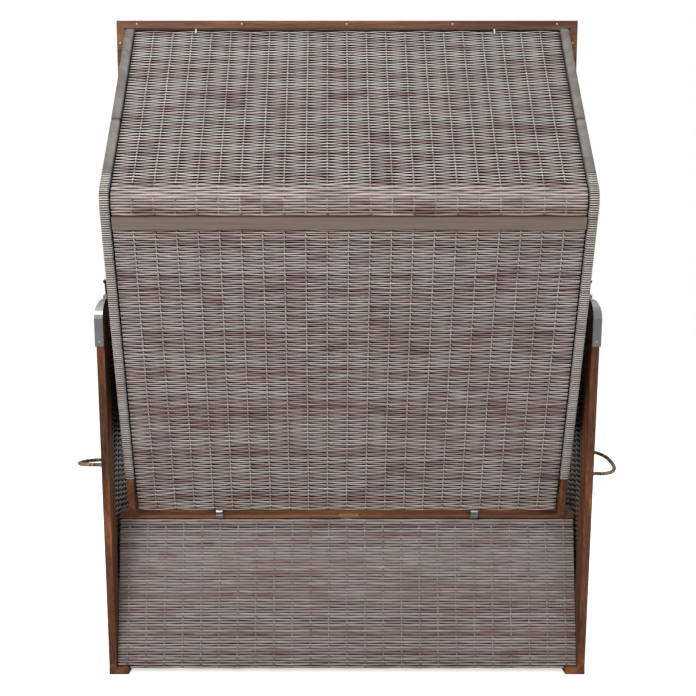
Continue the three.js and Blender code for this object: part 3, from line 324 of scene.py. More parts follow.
def hoodHeading(s):
    line = hoodLine
    roof = -line["roofLow"] + (line["roofLow"] - line["roofHigh"]) * (s - kneeEnd) / line["roofLength"]
    knee = line["lean"] - (s - line["backLength"]) / line["kneeRadius"]
    return np.where(s <= line["backLength"], line["lean"], np.where(s <= kneeEnd, knee, roof))


def hoodAt(s, offset=0.0):
    # y and z at distance s, moved inwards by an offset.
    s = np.asarray(s, dtype=float)
    line = hoodLine
    heading = hoodHeading(s)
    straight = np.minimum(s, line["backLength"])
    y = line["startY"] + straight * math.sin(line["lean"])
    z = line["startZ"] + straight * math.cos(line["lean"])
    knee = hoodHeading(np.clip(s, line["backLength"], kneeEnd))
    y = y - line["kneeRadius"] * (math.cos(line["lean"]) - np.cos(knee))
    z = z - line["kneeRadius"] * (np.sin(knee) - math.sin(line["lean"]))
    roofRadius = line["roofLength"] / (line["roofLow"] - line["roofHigh"])
    roof = hoodHeading(np.maximum(s, kneeEnd + 1e-6))
    y = y + np.where(s > kneeEnd, roofRadius * (math.cos(line["roofLow"]) - np.cos(roof)), 0)
    z = z + np.where(s > kneeEnd, roofRadius * (np.sin(roof) + math.sin(line["roofLow"])), 0)
    return y - offset * np.cos(heading), z + offset * np.sin(heading)


def meshFrom(name, points, quads, attributes=None):
    # One smooth mesh from arrays of points and four-sided faces, turned so that its faces point outwards.
    corners = points[quads]
    volume = np.einsum("ij,ij->i", corners[:, 0], np.cross(corners[:, 1], corners[:, 2])).sum()
    volume += np.einsum("ij,ij->i", corners[:, 0], np.cross(corners[:, 2], corners[:, 3])).sum()
    if volume < 0:
        quads = quads[:, ::-1]
    mesh = bpy.data.meshes.new(name)
    mesh.vertices.add(len(points))
    mesh.vertices.foreach_set("co", np.asarray(points, dtype=np.float32).ravel())
    mesh.loops.add(quads.size)
    mesh.loops.foreach_set("vertex_index", np.asarray(quads, dtype=np.int32).ravel())
    mesh.polygons.add(len(quads))
    mesh.polygons.foreach_set("loop_start", np.arange(0, quads.size, 4, dtype=np.int32))
    mesh.polygons.foreach_set("use_smooth", np.full(len(quads), True))
    mesh.update(calc_edges=True)
    for key, values in (attributes or {}).items():
        layer = mesh.attributes.new(key, "FLOAT", "POINT")
        layer.data.foreach_set("value", np.asarray(values, dtype=np.float32))
    mesh.validate()
    thing = bpy.data.objects.new(name, mesh)
    scene.collection.objects.link(thing)
    return thing


def sleeveFaces(index):
    # The faces round a run of closed rings, whose point numbers are the rows of index.
    beside = np.roll(index, -1, axis=1)
    return np.stack([index[:-1], beside[:-1], beside[1:], index[1:]], axis=-1).reshape(-1, 4)


def thinSheet(name, layers):
    # A closed sheet between two grids of points.
    rows, columns = layers[0].shape[:2]
    index = np.arange(2 * rows * columns).reshape(2, rows, columns)
    quads = []
    for layer in index:
        faces = np.stack([layer[:-1, :-1], layer[:-1, 1:], layer[1:, 1:], layer[1:, :-1]], axis=-1)
        quads.append(faces.reshape(-1, 4))
    for edge in (np.s_[0, :], np.s_[:, -1], np.s_[-1, ::-1], np.s_[::-1, 0]):
        low, high = index[0][edge], index[1][edge]
        quads.append(np.stack([low[:-1], low[1:], high[1:], high[:-1]], axis=-1))
    thing = meshFrom(name, np.concatenate([layer.reshape(-1, 3) for layer in layers]), np.concatenate(quads))
    editMesh(thing, facesOut)
    return thing


def coreSheet(name, rows, place, half=0.3, out=0.0):
    # A thin dark sheet within a weave, as wide as its rows, so that no light comes through; its dark colour
    # is painted shade for the gaps between the rows.
    v = np.array([[row[0]] for row in rows])
    u = np.array([[row[1] + 1, row[2] - 1] for row in rows])
    return thinSheet(name, [place(u, np.broadcast_to(v, u.shape), out + side) for side in (-half, half)])


def hoodSheet(name, depth, thickness, half, start, end, steps=60):
    # A sheet along the hood's line, with its face at a depth under the line.
    s = np.linspace(start, end, steps)[:, None]
    x = np.array([[-half, half]])
    return thinSheet(name, [metres(x, *hoodAt(s, offset)) for offset in (depth, depth + thickness)])


def dress(thing, body, slot, material, *nodes):
    thing.data.materials.clear()
    thing.data.materials.append(material)
    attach(thing, body)
    if nodes:
        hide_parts(*nodes)


class Bundle:
    # Gathers closed strands, each a run of equal sections with capped ends, into one mesh.
    def __init__(self):
        self.points, self.quads = [], []
        self.marks = {"row": [], "along": [], "around": [], "edge": []}
        self.count = 0

    def strand(self, points, row, along, around, edge):
        stations, corners = points.shape[:2]
        index = self.count + np.arange(stations * corners).reshape(stations, corners)
        caps = []
        for ring, turned in ((index[0], True), (index[-1], False)):
            for low in range(corners // 2 - 1):
                face = [ring[low], ring[low + 1], ring[corners - 2 - low], ring[corners - 1 - low]]
                caps.append(face[::-1] if turned else face)
        self.points.append(points.reshape(-1, 3))
        self.quads += [sleeveFaces(index), np.array(caps)]
        marks = {"row": np.broadcast_to(row, stations).repeat(corners), "along": np.repeat(along, corners),
                 "around": np.tile(around, stations), "edge": np.tile(edge, stations)}
        for key, values in marks.items():
            self.marks[key].append(values)
        self.count += stations * corners

    def build(self, name):
        marks = {key: np.concatenate(values) for key, values in self.marks.items()}
        return meshFrom(name, np.concatenate(self.points), np.concatenate(self.quads), marks)


# The six-cornered sections of a strand and of a stake, as shares of half their width and thickness, and how
# much painted shade each corner gets, from 0, lit in the open, to 1, deep in the weave; the lower front
# corner gets more than the upper, as if shaded from above.
section = {"strandAcross": (-1, -0.58, 0.58, 1, 0.58, -0.58), "strandOut": (-0.4, 1, 1, -0.4, -1, -1),
           "stakeAcross": (-1, -0.6, 0.6, 1, 0.6, -0.6), "stakeOut": (0, 1, 1, 0, -1, -1),
           "outerEdge": (1, 0.77, 0.41, 0.96), "innerEdge": (0.5, 0.66), "stakeEdge": 0.08,
           "looseTight": (0.66, 0.8)}


def weave(name, rows, place, size, seed):
    # Rows of flat strand over and under upright stakes. rows holds (v, from, to) for each row;
    # place turns (u, v, out) into points.
    random = np.random.default_rng(seed)
    bundle = Bundle()
    stake, steps = size["stake"], size["steps"]
    around = np.arange(6) / 6
    edge = np.array([*section["outerEdge"], *size.get("innerEdge", section["innerEdge"])])
    lift, rise = np.array(section["strandAcross"]), np.array(section["strandOut"])
    for number, (v, start, end) in enumerate(rows):
        first = math.floor(start / stake * steps) + 1
        last = math.ceil(end / stake * steps) - 1
        u = np.concatenate([[start], np.arange(first, last + 1) * stake / steps, [end]])
        u = u[np.concatenate([[True], np.diff(u) > 0.5])]
        wave = np.cos(np.pi * (u / stake + number))
        out = size["swing"] * random.uniform(0.85, 1.12) * wave
        drift = np.sin(u / 17 + v / 60 + 1.3) + np.sin(u / 29 - v / 90) + np.sin(u / 71 + v / 40)
        wander = size["drift"] * drift / 2
        wander = wander + size["wander"] * np.sin(u / random.uniform(15, 60) + random.uniform(0, 7))
        # Now and then a row stands a little apart from the next.
        span = size["tight"] if random.uniform() > size["loose"] else section["looseTight"]
        half = size["pitch"] * (size["cover"] + size["spread"] * np.abs(wave)) * random.uniform(*span) / 2
        thick = size["thick"] / 2 * (1 - 0.15 * np.abs(wave))
        across = v + wander[:, None] + half[:, None] * lift
        out = out[:, None] + thick[:, None] * rise
        points = place(np.broadcast_to(u[:, None], across.shape), across, out)
        bundle.strand(points, random.uniform(), u / 1000 + random.uniform(0, 9), around, edge)
    heights, starts, ends = np.array(rows).T
    half, thick = size["stakeWidth"] / 2, size["stakeThick"] / 2
    lift, rise = half * np.array(section["stakeAcross"]), thick * np.array(section["stakeOut"])
    margin = half + 0.4
    for k in range(math.ceil(starts.min() / stake), math.floor(ends.max() / stake) + 1):
        u = round(k * stake, 3)
        crossed = heights[(starts + margin < u) & (ends - margin > u)]
        if len(crossed) < 3:
            continue
        low, high = crossed.min(), crossed.max()
        v = np.linspace(low, high, max(3, int((high - low) / size["stakeStep"])))
        points = place(*np.broadcast_arrays(u + lift, v[:, None], rise))
        bundle.strand(points, random.uniform(0.3, 0.8), v / 1000 + random.uniform(0, 9), around,
                      np.clip(edge + section["stakeEdge"], 0, 1))
    return bundle.build(name)


def evenRows(low, high, pitch, half):
    count = max(1, round((high - low) / pitch))
    step = (high - low) / count
    return [(low + step * (k + 0.5), -half, half) for k in range(count)]


# The hood's back, knee and roof share one weave, apart from what each says for itself.
hoodWeave = {
    "half": 521.6, "depth": 4.7, "from": 15, "strip": 767.5, "stripEnd": 795.5, "kneeLength": 82,
    "back": {"pitch": 5.6},
    "knee": {"pitch": 7.0, "swing": 1.3, "cover": 0.97, "spread": 0.03, "stakeThick": 2.2},
    "roof": {"pitch": 4.42, "swing": 1.9, "cover": 0.8, "spread": 0.12, "drift": 0.7},
    "stake": 47.6, "steps": 4, "swing": 1.5, "wander": 0.12, "drift": 0.5, "cover": 0.85, "spread": 0.06,
    "tight": (0.92, 1.02), "loose": 0.16, "thick": 1.8, "stakeWidth": 5.5, "stakeThick": 1.2, "stakeStep": 30,
}
# A dark wooden strip closes the roof's weave towards the front frame, its brown darkened as painted shade;
# a batten lies under it between backing and lining, and two clips lie over it, light-coloured as a painted
# highlight.
topStrip = {"width": 5.5, "end": 0.5, "half": 525.2, "depth": 4.5, "thick": 4, "colour": (52, 34, 25),
            "clips": (373, -363), "clipHalf": 1.8, "clipLength": 16, "clipDepth": 0.4, "clipThick": 1.9,
            "battenDepth": 11.2, "battenThick": 18.4, "battenWidth": 18, "battenHalf": 524, "battenEnd": 3}


def hoodPanels():
    size = hoodWeave
    kneeTop = size["stripEnd"] + size["kneeLength"]
    parts = (("back", size["from"], size["strip"] - 1, 11), ("knee", size["stripEnd"] + 1, kneeTop, 12),
             ("roof", kneeTop, hoodEnd - topStrip["width"] - 2, 13))
    materials = [strandMaterial(part[0]) for part in parts]

    def place(u, v, out):
        return metres(u, *hoodAt(v, size["depth"] - out))

    for (part, low, high, seed), material in zip(parts, materials):
        strand = {**size, **size[part]}
        rows = evenRows(low, high, strand["pitch"], size["half"])
        panel = weave(f"woven_hood_{part}", rows, place, strand, seed)
        nodes = [] if part == "knee" else [f"hood_{part}_panel"]
        dress(panel, "hood", "wicker", material, *nodes)
        print("Woven hood:", part, len(panel.data.polygons) * 2)


def slideAcross(thing, x):
    pick(thing)
    bpy.ops.transform.translate(value=(x / 1000, 0, 0))
    settle(thing)


def layTopStrip(wood):
    size = topStrip
    batten = hoodSheet("hood_top_batten", size["battenDepth"], size["battenThick"], size["battenHalf"],
                       hoodEnd - size["battenWidth"], hoodEnd - size["battenEnd"], 6)
    dress(batten, "hood", "mahogany", wood)
    end = hoodEnd - size["end"]
    strip = hoodSheet("hood_top_strip", size["depth"], size["thick"], size["half"],
                      hoodEnd - size["width"] - 1, end, 6)
    # The strip's dark brown is wood darkened by painted shade.
    dress(strip, "hood", "mahogany", plainPaint("strip_wood_painted_shade", size["colour"], 0.7, 0.4))
    # The clips' light steel, much lighter than the zinc, is a painted highlight.
    highlightSteel = metalMaterial("clip")
    for number, x in enumerate(size["clips"]):
        clip = hoodSheet(f"hood_clip_{number + 1}", size["clipDepth"], size["clipThick"], size["clipHalf"],
                         hoodEnd - size["clipLength"], end, 6)
        slideAcross(clip, x)
        dress(clip, "hood", "zinc", highlightSteel)
    print("Top strip laid")


# Thin wooden sills under the hood's lowest batten, between its hinges, close the slot over the back rail.
# Each part is its middle and its half length.
sill = {"depth": 11, "thick": 3, "from": 0, "to": 12.1, "parts": ((0, 310.5), (426.5, 97), (-426.5, 97))}


def laySills(wood):
    size = sill
    for number, (x, half) in enumerate(size["parts"]):
        strip = hoodSheet(f"hood_sill_{number + 1}", size["depth"], size["thick"], half,
                          size["from"], size["to"], 4)
        slideAcross(strip, x)
        dress(strip, "hood", "mahogany", wood)
    print("Sills laid")


# The base's back leans forward towards its top, and its lowest rows are inset at the feet.
baseWeave = {
    "half": 571.2, "low": 11.3, "high": 376.6, "pitch": 6.8, "topRear": -14, "bottomRear": 22,
    "panelLow": 14, "panelHigh": 379.5, "footTop": 17.5, "footInset": 31.5,
    "stake": 45.6, "steps": 4, "swing": 1.1, "wander": 0.1, "drift": 0.35, "cover": 1.0, "spread": 0.04,
    "tight": (0.95, 1.03), "loose": 0.2, "thick": 1.4, "stakeWidth": 4.5, "stakeThick": 0.8, "stakeStep": 40,
    "depth": 3.6, "coreHalf": 0.4, "coreOut": -3.4,
}


def basePanel(coreMaterial):
    size = baseWeave
    lean = (size["bottomRear"] - size["topRear"]) / (size["panelHigh"] - size["panelLow"])

    def place(u, v, out):
        return metres(u, size["bottomRear"] - (v - size["panelLow"]) * lean - size["depth"] + out, v)

    rows = evenRows(size["low"], size["high"], size["pitch"], size["half"])
    inset = size["footInset"]
    clear = size["footTop"] + size["pitch"] / 2
    rows = [(v, start, end) if v > clear else (v, start + inset, end - inset) for v, start, end in rows]
    material = strandMaterial("base")
    panel = weave("woven_base_back", rows, place, size, 21)
    dress(panel, "base", "wicker", material, "base_back_panel")
    core = coreSheet("base_back_core", rows[:-1], place, size["coreHalf"], size["coreOut"])
    dress(core, "base", "fabric", coreMaterial)
    print("Woven base back:", len(panel.data.polygons) * 2)


# The side walls of base and hood are woven alike. Their rows run fore and aft; the base's stop at the posts
# and under the sweep of the rail, the hood's at the front frame, the stile and the sloping rail.
wallWeave = {"stake": 46, "steps": 4, "swing": 1.8, "wander": 0.1, "drift": 0.2, "cover": 1.04, "spread": 0.1,
             "tight": (0.98, 1.06), "loose": 0, "thick": 2, "stakeWidth": 6, "stakeThick": 1.8,
             "stakeStep": 40, "rowHalf": 3, "shortest": 12}
# The base walls' inner faces get more painted shade than the hood's, through innerEdge.
baseWall = {**wallWeave, "middle": 581, "low": 28, "high": 880, "pitch": 6.4, "innerEdge": (0.8, 0.88),
            "front": -507, "rearFoot": 23, "rearLean": 10.3, "postWidth": 58}
hoodWall = {**wallWeave, "middle": 537, "low": 480, "high": 1531, "pitch": 6.2, "depth": 46, "railS": 98.5,
            "frontY": 43.2, "frontZ": 1600.75, "frontLean": 8, "cornerZ": 660.5}
rail = {"rearTop": 931, "corner": 45, "crest": 34, "crestPull": 120, "armPull": 120, "armTop": 636,
        "armRear": -205, "depth": 46.5}


def layWalls(names, body, size, seed, reach, material, coreMaterial):
    # reach gives where a row at height z starts and ends; the same rows serve left and right.
    rows = []
    for k in range(round((size["high"] - size["low"]) / size["pitch"]) + 1):
        z = size["low"] + k * size["pitch"]
        start, end = reach(z)
        if end - start > size["shortest"]:
            rows.append((z, start, end))
    wovenName, node, coreName = names
    for side, sign in sides:
        def place(u, v, out):
            return metres(sign * (size["middle"] + out), u, v)

        panel = weave(f"{wovenName}_{side}", rows, place, size, seed)
        dress(panel, body, "wicker", material, f"{node}_{side}")
        dress(coreSheet(f"{coreName}_{side}", rows[1:-1], place), body, "fabric", coreMaterial)
    print("Woven side walls:", body, len(panel.data.polygons) * 2)


def rearEdge(z):
    # y of a base wall's rear edge at height z.
    return baseWall["rearFoot"] + math.tan(math.radians(baseWall["rearLean"])) * z


def sweepLine(offset):
    # Points under the rail's sweep, from the crest down to the arm.
    top = rail["rearTop"]
    crest = rearEdge(top - rail["corner"]) - rail["corner"] - rail["crest"]
    a, b, c, d = np.array([
        (crest, top), (crest - rail["crestPull"], top),
        (rail["armRear"] + rail["armPull"], rail["armTop"]), (rail["armRear"], rail["armTop"]),
    ])
    t = np.linspace(0, 1, 41)[:, None]
    line = (1 - t) ** 3 * a + 3 * (1 - t) ** 2 * t * b + 3 * (1 - t) * t ** 2 * c + t ** 3 * d
    slope = 3 * (1 - t) ** 2 * (b - a) + 6 * (1 - t) * t * (c - b) + 3 * t ** 2 * (d - c)
    slope /= np.linalg.norm(slope, axis=1)[:, None]
    return line + offset * np.stack([-slope[:, 1], slope[:, 0]], axis=1)


def baseWalls(material, coreMaterial):
    size = baseWall
    under = sweepLine(rail["depth"])
    under = under[np.argsort(under[:, 1])]
    levelPost = size["postWidth"] / math.cos(math.radians(size["rearLean"]))

    def reach(z):
        start = size["front"]
        top = z + size["rowHalf"]
        if top > under[0, 1]:
            start = float(np.interp(top, under[:, 1], under[:, 0])) + 1.5
        return start, rearEdge(z) - levelPost - 1

    layWalls(("woven_side_wall", "side_panel", "wall_core"), "base", size, 31, reach, material, coreMaterial)


def frontEdge(z):
    # y of a hood wall's front edge at height z.
    return hoodWall["frontY"] - (hoodWall["frontZ"] - z) * math.tan(math.radians(hoodWall["frontLean"])) + 0.4


def hoodWalls(material, coreMaterial):
    size = hoodWall
    half, corner = size["rowHalf"], size["cornerZ"]
    curveY, curveZ = hoodAt(np.linspace(size["railS"], hoodEnd + 60, 600), size["depth"])
    footY, footZ = curveY[0], curveZ[0]

    def reach(z):
        start = frontEdge(z) + 0.2
        if z < corner + half:
            start = footY + (frontEdge(corner) - footY) * (z - half - footZ) / (corner - footZ) + 2
        # Near the top the roof's line sinks towards the frame, so a row is as long as its upper edge allows.
        return start, float(min(np.interp([z + half, z - half], curveZ, curveY))) - 1

    names = ("woven_hood_side", "hood_side_panel", "hood_side_core")
    layWalls(names, "hood", size, 41, reach, material, coreMaterial)


# A wooden batten closes the corner between each stile of the front frame and the woven side.
sideBatten = {"inner": 533, "outer": 550.9, "depth": 10, "low": 600, "high": 1530}


def layBattens(wood):
    size = sideBatten
    lean = math.radians(hoodWall["frontLean"])
    height = (size["low"] + size["high"]) / 2
    y = frontEdge(height) - 0.4 - size["depth"] / 2 * math.cos(lean)
    z = height + size["depth"] / 2 * math.sin(lean)
    scale = (size["outer"] - size["inner"], size["depth"], (size["high"] - size["low"]) / math.cos(lean))
    for side, sign in sides:
        place = tuple(metres(sign * (size["inner"] + size["outer"]) / 2, y, z))
        pick()
        bpy.ops.mesh.primitive_cube_add(size=0.001, location=place, rotation=(-lean, 0, 0), scale=scale)
        batten = bpy.context.object
        batten.name = f"hood_side_batten_{side}"
        settle(batten)
        dress(batten, "hood", "mahogany", wood)
    print("Battens laid")


# The rims: a sleeve round each stile, laid lengthwise on the roof and wound crosswise below. A turn of the
# winding and a length on the roof are both lists of (share of its length, depth in its groove, edge), where
# edge paints shade into the grooves between turns and at the seam, and darkens the roof lengths evenly.
rim = {"from": 108, "windTo": 902, "pitch": 5.35, "inner": 525.7, "outer": 548, "depth": 27, "skin": 2.6,
       "groove": 2.1, "corner": 4, "parts": (955, 1080, 1205, 1310), "seam": 1080,
       "turn": ((0.0, 1, 1), (0.3, 0.25, 0.82), (0.55, 0, 0.4), (0.78, 0.2, 0.7), (0.999, 1, 1)),
       "flat": ((0.02, 0, 0.785), (0.08, 0, 0.785), (0.5, 0, 0.785), (0.92, 0, 0.785)),
       "flatEnd": (0.98, 0, 0.785), "seamEnd": (0.98, 0.5, 0.86)}


def rimStations(size):
    # Rows of (place along the hood's line, groove, tone, share, edge), from the foot to the front frame.
    random = np.random.default_rng(51)
    stations = []
    s = size["from"]
    while s < size["windTo"]:
        pitch = size["pitch"] * random.uniform(0.93, 1.07)
        tone = random.uniform(0.32, 0.68)
        for share, deep, edge in size["turn"]:
            stations.append((s + pitch * share, deep * size["groove"], tone, share, edge))
        s += pitch
    for end in (*size["parts"], hoodEnd - 1):
        tone = random.uniform() * 0.6 + 0.2
        last = size["seamEnd"] if end == size["seam"] else size["flatEnd"]
        for share, deep, edge in (*size["flat"], last):
            stations.append((s + (end - s) * share, deep * size["groove"], tone, 0.5, edge))
        s = end
    return np.array(stations).T


def rims(material):
    size = rim
    stations, grooves, row, across, edges = rimStations(size)
    r = size["corner"]
    low, high, deep, skin = size["inner"], size["outer"], size["depth"], size["skin"]
    middle = (low + high) / 2
    bends = [(r * math.sin(math.radians(angle)), r * math.cos(math.radians(angle))) for angle in (0, 45, 90)]
    outer = [(high, deep), (high, deep / 2)]
    outer += [(high - r + cos, r - sin) for sin, cos in bends]
    outer += [(middle, -0.4)]
    outer += [(low + r - sin, r - cos) for sin, cos in bends]
    outer += [(low, deep / 2), (low, deep)]
    inner = [(low + skin, deep), (low + skin, skin), (high - skin, skin), (high - skin, deep)]
    # The inner corner that faces each outer one, where a strip closes the ends.
    opposite = [len(outer) + k for k in (3, 3, 3, 2, 2, 2, 1, 1, 1, 0, 0)]
    rings = []
    for station, groove in zip(stations, grooves):
        sunk = [(x - (np.sign(x - middle) * groove if deep - o > 1 else 0), o + (groove if o < 1 else 0))
                for x, o in outer]
        rings.append([(x, station, o) for x, o in sunk + inner])
    rings = np.array(rings)
    count, corners = rings.shape[:2]
    index = np.arange(count * corners).reshape(count, corners)
    ends = []
    for ring, turned in ((index[0], False), (index[-1], True)):
        for k in range(len(outer) - 1):
            face = [ring[k], ring[k + 1], ring[opposite[k + 1]], ring[opposite[k]]]
            ends.append(face if turned else face[::-1])
    marks = {
        "row": np.repeat(row, corners), "around": np.repeat(across, corners),
        "edge": np.repeat(edges, corners),
        "along": np.tile(np.arange(corners) * 0.006, count) + np.repeat(stations, corners) / 1000,
    }
    for side, sign in sides:
        points = metres(sign * rings[..., 0], *hoodAt(rings[..., 1], rings[..., 2])).reshape(-1, 3)
        thing = meshFrom(f"wound_rim_{side}", points, np.concatenate([sleeveFaces(index), ends]), marks)
        editMesh(thing, lambda: bpy.ops.mesh.dissolve_degenerate(threshold=0.00001), facesOut)
        dress(thing, "hood", "wicker", material, f"hood_rim_{side}")
    print("Wound rims:", len(thing.data.polygons))


# A dark sheet between the woven hood and its boards, so that no light comes through the weave; its near-black
# colour is painted shade for the gaps between the rows. Then the cloth lining over the battens.
backing = {"half": 525.2, "depth": 9.6, "thickness": 1.2, "from": 13, "end": 2, "colour": (30, 23, 19),
           "restsOn": ("hood_batten_middle",)}
lining = {"half": 524.5, "depth": 29.9, "thickness": 0.9, "from": 60, "end": 3,
          "restsOn": ("hood_batten_bottom", "hood_batten_middle", "hood_batten_knee")}


def stretchSheet(name, size, material):
    start, end = size["from"], hoodEnd - size["end"]
    thing = hoodSheet(name, size["depth"], size["thickness"], size["half"], start, end)
    dress(thing, "hood", "fabric", material)
    (end - start) / 1000
    print("Sheet laid:", name)


# Colours as they show on screen: dark, middle and light for each wood, and a finish for each metal.
wood = {
    "post": ((60, 32, 17), (106, 63, 38), (160, 104, 64)),
    "rail": ((84, 46, 27), (134, 86, 57), (172, 117, 80)),
    "frame": ((74, 44, 28), (118, 78, 56), (162, 118, 90)),
    "pore": (44, 24, 14), "poreShare": 0.7,
}
metals = {
    "zinc": {"colour": (128, 131, 130), "roughness": 0.36, "spangle": 0.35},
    "zinc_dark": {"colour": (92, 94, 93), "roughness": 0.42, "spangle": 0.3},
    "lever_dark": {"colour": (54, 57, 56), "roughness": 0.4, "spangle": 0.2},
    "brass": {"colour": (138, 110, 76), "roughness": 0.38, "brushed": (0.08, 1, 1)},
    # The clip steel is lighter than the zinc, as a painted highlight.
    "clip": {"colour": (214, 214, 210), "roughness": 0.5},
    "screw": {"colour": (178, 158, 126), "roughness": 0.3},
    # The knuckle is zinc made lighter than the rest, as a painted highlight.
    "knuckle": {"colour": (196, 196, 192), "roughness": 0.3},
}
coverStrip = {"dark": (106, 90, 79), "light": (130, 111, 98), "roughness": 0.5}
stripe = {"period": 0.062, "base": (206, 197, 181), "band": (150, 133, 117), "line": (112, 96, 84),
          "soilAndShade": (96, 84, 74), "threads": 260, "roughness": 0.88, "sheen": 0.15}
bast = {"dark": (48, 34, 22), "middle": (112, 84, 56), "light": (164, 134, 96), "roughness": 0.75}


def plainPaint(name, colour, roughness, grain):
    paint = Paint(name)
    spots = paint.noise(paint.place(), 400, 2)
    shade = paint.mix(spots * grain, linear(*colour), linear(*[value * 0.55 for value in colour]))
    paint.set(Base_Color=shade, Roughness=roughness, Specular_IOR_Level=0.1)
    paint.set(Normal=paint.bump(spots, 0.2, 0.0006))
    return paint.material


def woodMaterial(name, tones, along):
    # Oiled hardwood: long grain along one axis, darker pores and a slow change of tone along the board.
    paint = Paint(name)

    def stretched(slow, fast):
        return paint.place(tuple(slow if axis == along else fast for axis in "xyz"))

    broad = paint.noise(stretched(1.1, 17), 1, 3, 0.55, 0.6)
    grain = paint.noise(stretched(5, 210), 1, 4, 0.65, 0.3)
    pores = paint.noise(stretched(22, 900), 1, 2, 0.6)
    dark, middle, light = (linear(*tone) for tone in wood[tones])
    colour = paint.ramp(broad * 0.75 + grain * 0.45 - 0.1, (0.32, dark), (0.5, middle), (0.68, light))
    pore = paint.ramp(pores, (0.36, white), (0.44, black))
    colour = paint.mix(pore * wood["poreShare"], colour, linear(*wood["pore"]))
    paint.set(Base_Color=colour, Roughness=0.46 + grain * 0.22, Specular_IOR_Level=0.25)
    paint.set(Normal=paint.bump(grain * 0.6 - pores * 0.3, 0.35, 0.0007))
    return paint.material


def metalMaterial(name):
    # Fine brushing, and on zinc the slow flakes of hot dipping.
    size = metals[name]
    paint = Paint(name)
    fine = paint.noise(paint.place(size.get("brushed", (1, 1, 1))), 300, 3, 0.6)
    flakes = paint.noise(paint.place(), 55, 1, 0.4)
    dull = linear(*[value * 0.72 for value in size["colour"]])
    tone = paint.mix(flakes * size.get("spangle", 0) + fine * 0.25, linear(*size["colour"]), dull)
    paint.set(Base_Color=tone, Metallic=1.0, Roughness=size["roughness"] + (fine - 0.5) * 0.16)
    paint.set(Normal=paint.bump(fine, 0.12, 0.0003))
    return paint.material


def fabricMaterial(name):
    # A plain-woven outdoor cloth with long stripes, the same across every cushion and the awning.
    paint = Paint(name)
    share = (paint.axis(0) / stripe["period"] + 40).math("FRACT")
    base, band, line = (linear(*stripe[key]) for key in ("base", "band", "line"))
    colour = paint.ramp(share, (0.0, base), (0.40, band), (0.62, base), (0.70, line), (0.735, base))
    colour.socket.node.color_ramp.interpolation = "CONSTANT"
    across, down, into = [paint.node("ShaderNodeTexWave", {"bands_direction": axis}, paint.where(),
                                     Scale=stripe["threads"], Distortion=0.6) for axis in "XZY"]
    threads = across * 0.4 + down * 0.35 + into * 0.35
    soilAndShade = paint.noise(paint.place(), 9, 3)
    colour = paint.mix(threads * 0.2 + soilAndShade * 0.12, colour, linear(*stripe["soilAndShade"]))
    paint.set(Base_Color=colour, Roughness=stripe["roughness"], Sheen_Weight=stripe["sheen"])
    paint.set(Normal=paint.bump(threads, 0.35, 0.0008))
    return paint.material


def ropeMaterial(name):
    paint = Paint(name)
    row = paint.attribute("row")
    fine = paint.noise(paint.vector(paint.attribute("along") * 900, row * 40, 0), 1, 3, 0.6)
    dark, middle, light = (linear(*bast[key]) for key in ("dark", "middle", "light"))
    colour = paint.ramp(row * 0.7 + fine * 0.3, (0.15, dark), (0.45, middle), (0.8, light))
    paint.set(Base_Color=colour, Roughness=bast["roughness"], Normal=paint.bump(fine, 0.4, 0.0006))
    return paint.material


def stripMaterial(name):
    paint = Paint(name)
    streaks = paint.noise(paint.place((3, 260, 260)), 1, 3)
    tone = paint.ramp(streaks, (0.3, linear(*coverStrip["dark"])), (0.7, linear(*coverStrip["light"])))
    paint.set(Base_Color=tone, Roughness=coverStrip["roughness"], Normal=paint.bump(streaks, 0.2, 0.0004))
    return paint.material


def finish(nodes, material):
    for name in nodes:
        mesh = bpy.data.objects[name].data
        mesh.materials.clear()
        mesh.materials.append(material)
    return material


def both(*names):
    return [f"{name}_{side}" for name in names for side, sign in sides]


def finishFrame():
    # Returns the wood of the posts, the wood that runs across, and the zinc, which other pieces share.
    upright = finish(both("rear_post", "front_post", "hood_stile"), woodMaterial("wood_upright", "post", "z"))
    across = woodMaterial("wood_across", "rail", "x")
    finish(both("top_rail", "skid", "armrest", "footrest_runner", "side_table", "hood_side_rail"),
           woodMaterial("wood_level", "post", "y"))
    finish(["back_rail", "slatted_seat", "inner_frame", "hood_batten_bottom", "hood_batten_middle",
            "hood_batten_knee", "awning_bow", *both("footrest")], across)
    finish(["front_frame"], woodMaterial("wood_front_frame", "frame", "x"))
    zinc = finish(both("rail_hinge", "hood_hinge", "post_cap", "handle_plate"), metalMaterial("zinc"))
    finish(both("recline_bar"), metalMaterial("zinc_dark"))
    finish(both("latch_lever"), metalMaterial("lever_dark"))
    finish(["rail_plate"], metalMaterial("brass"))
    finish(["cover_strip"], stripMaterial("cover_strip"))
    print("Frame finished")
    return upright, across, zinc


# Cushions: each is puffed out by a cloth simulation of its own, then sewn down along its channels, which
# stand at shares of its half length. Metres.
cushions = {
    "seat": {"node": "seat_cushion", "body": "base", "lean": 0, "channels": (0,), "voxel": 0.0065},
    "back": {"node": "back_cushion", "body": "hood", "lean": 65.3, "channels": (-0.4, 0.3), "voxel": 0.0065},
    "foot": {"node": "foot_cushion", "body": "footrest", "lean": 0, "channels": (0,), "voxel": 0.006},
}
puff = {"pressure": 4, "frames": 20, "cap": 0.025, "shrink": 0.006, "channelDepth": 0.009,
        "channelWidth": 0.010, "proud": 0.004, "rest": 0.0006, "sideRoom": 0.001, "fill": 0.75}


def vectors(mesh, key):
    values = np.empty(len(mesh.vertices) * 3, dtype=np.float32)
    mesh.vertices.foreach_get(key, values)
    return values.reshape(-1, 3)


def movePoints(mesh, points):
    mesh.vertices.foreach_set("co", np.asarray(points, dtype=np.float32).ravel())
    mesh.update()


def copyOf(source, name):
    thing = source.copy()
    thing.data = source.data.copy()
    thing.name = name
    for key in list(thing.keys()):
        del thing[key]
    scene.collection.objects.link(thing)
    thing.hide_render = False
    return thing


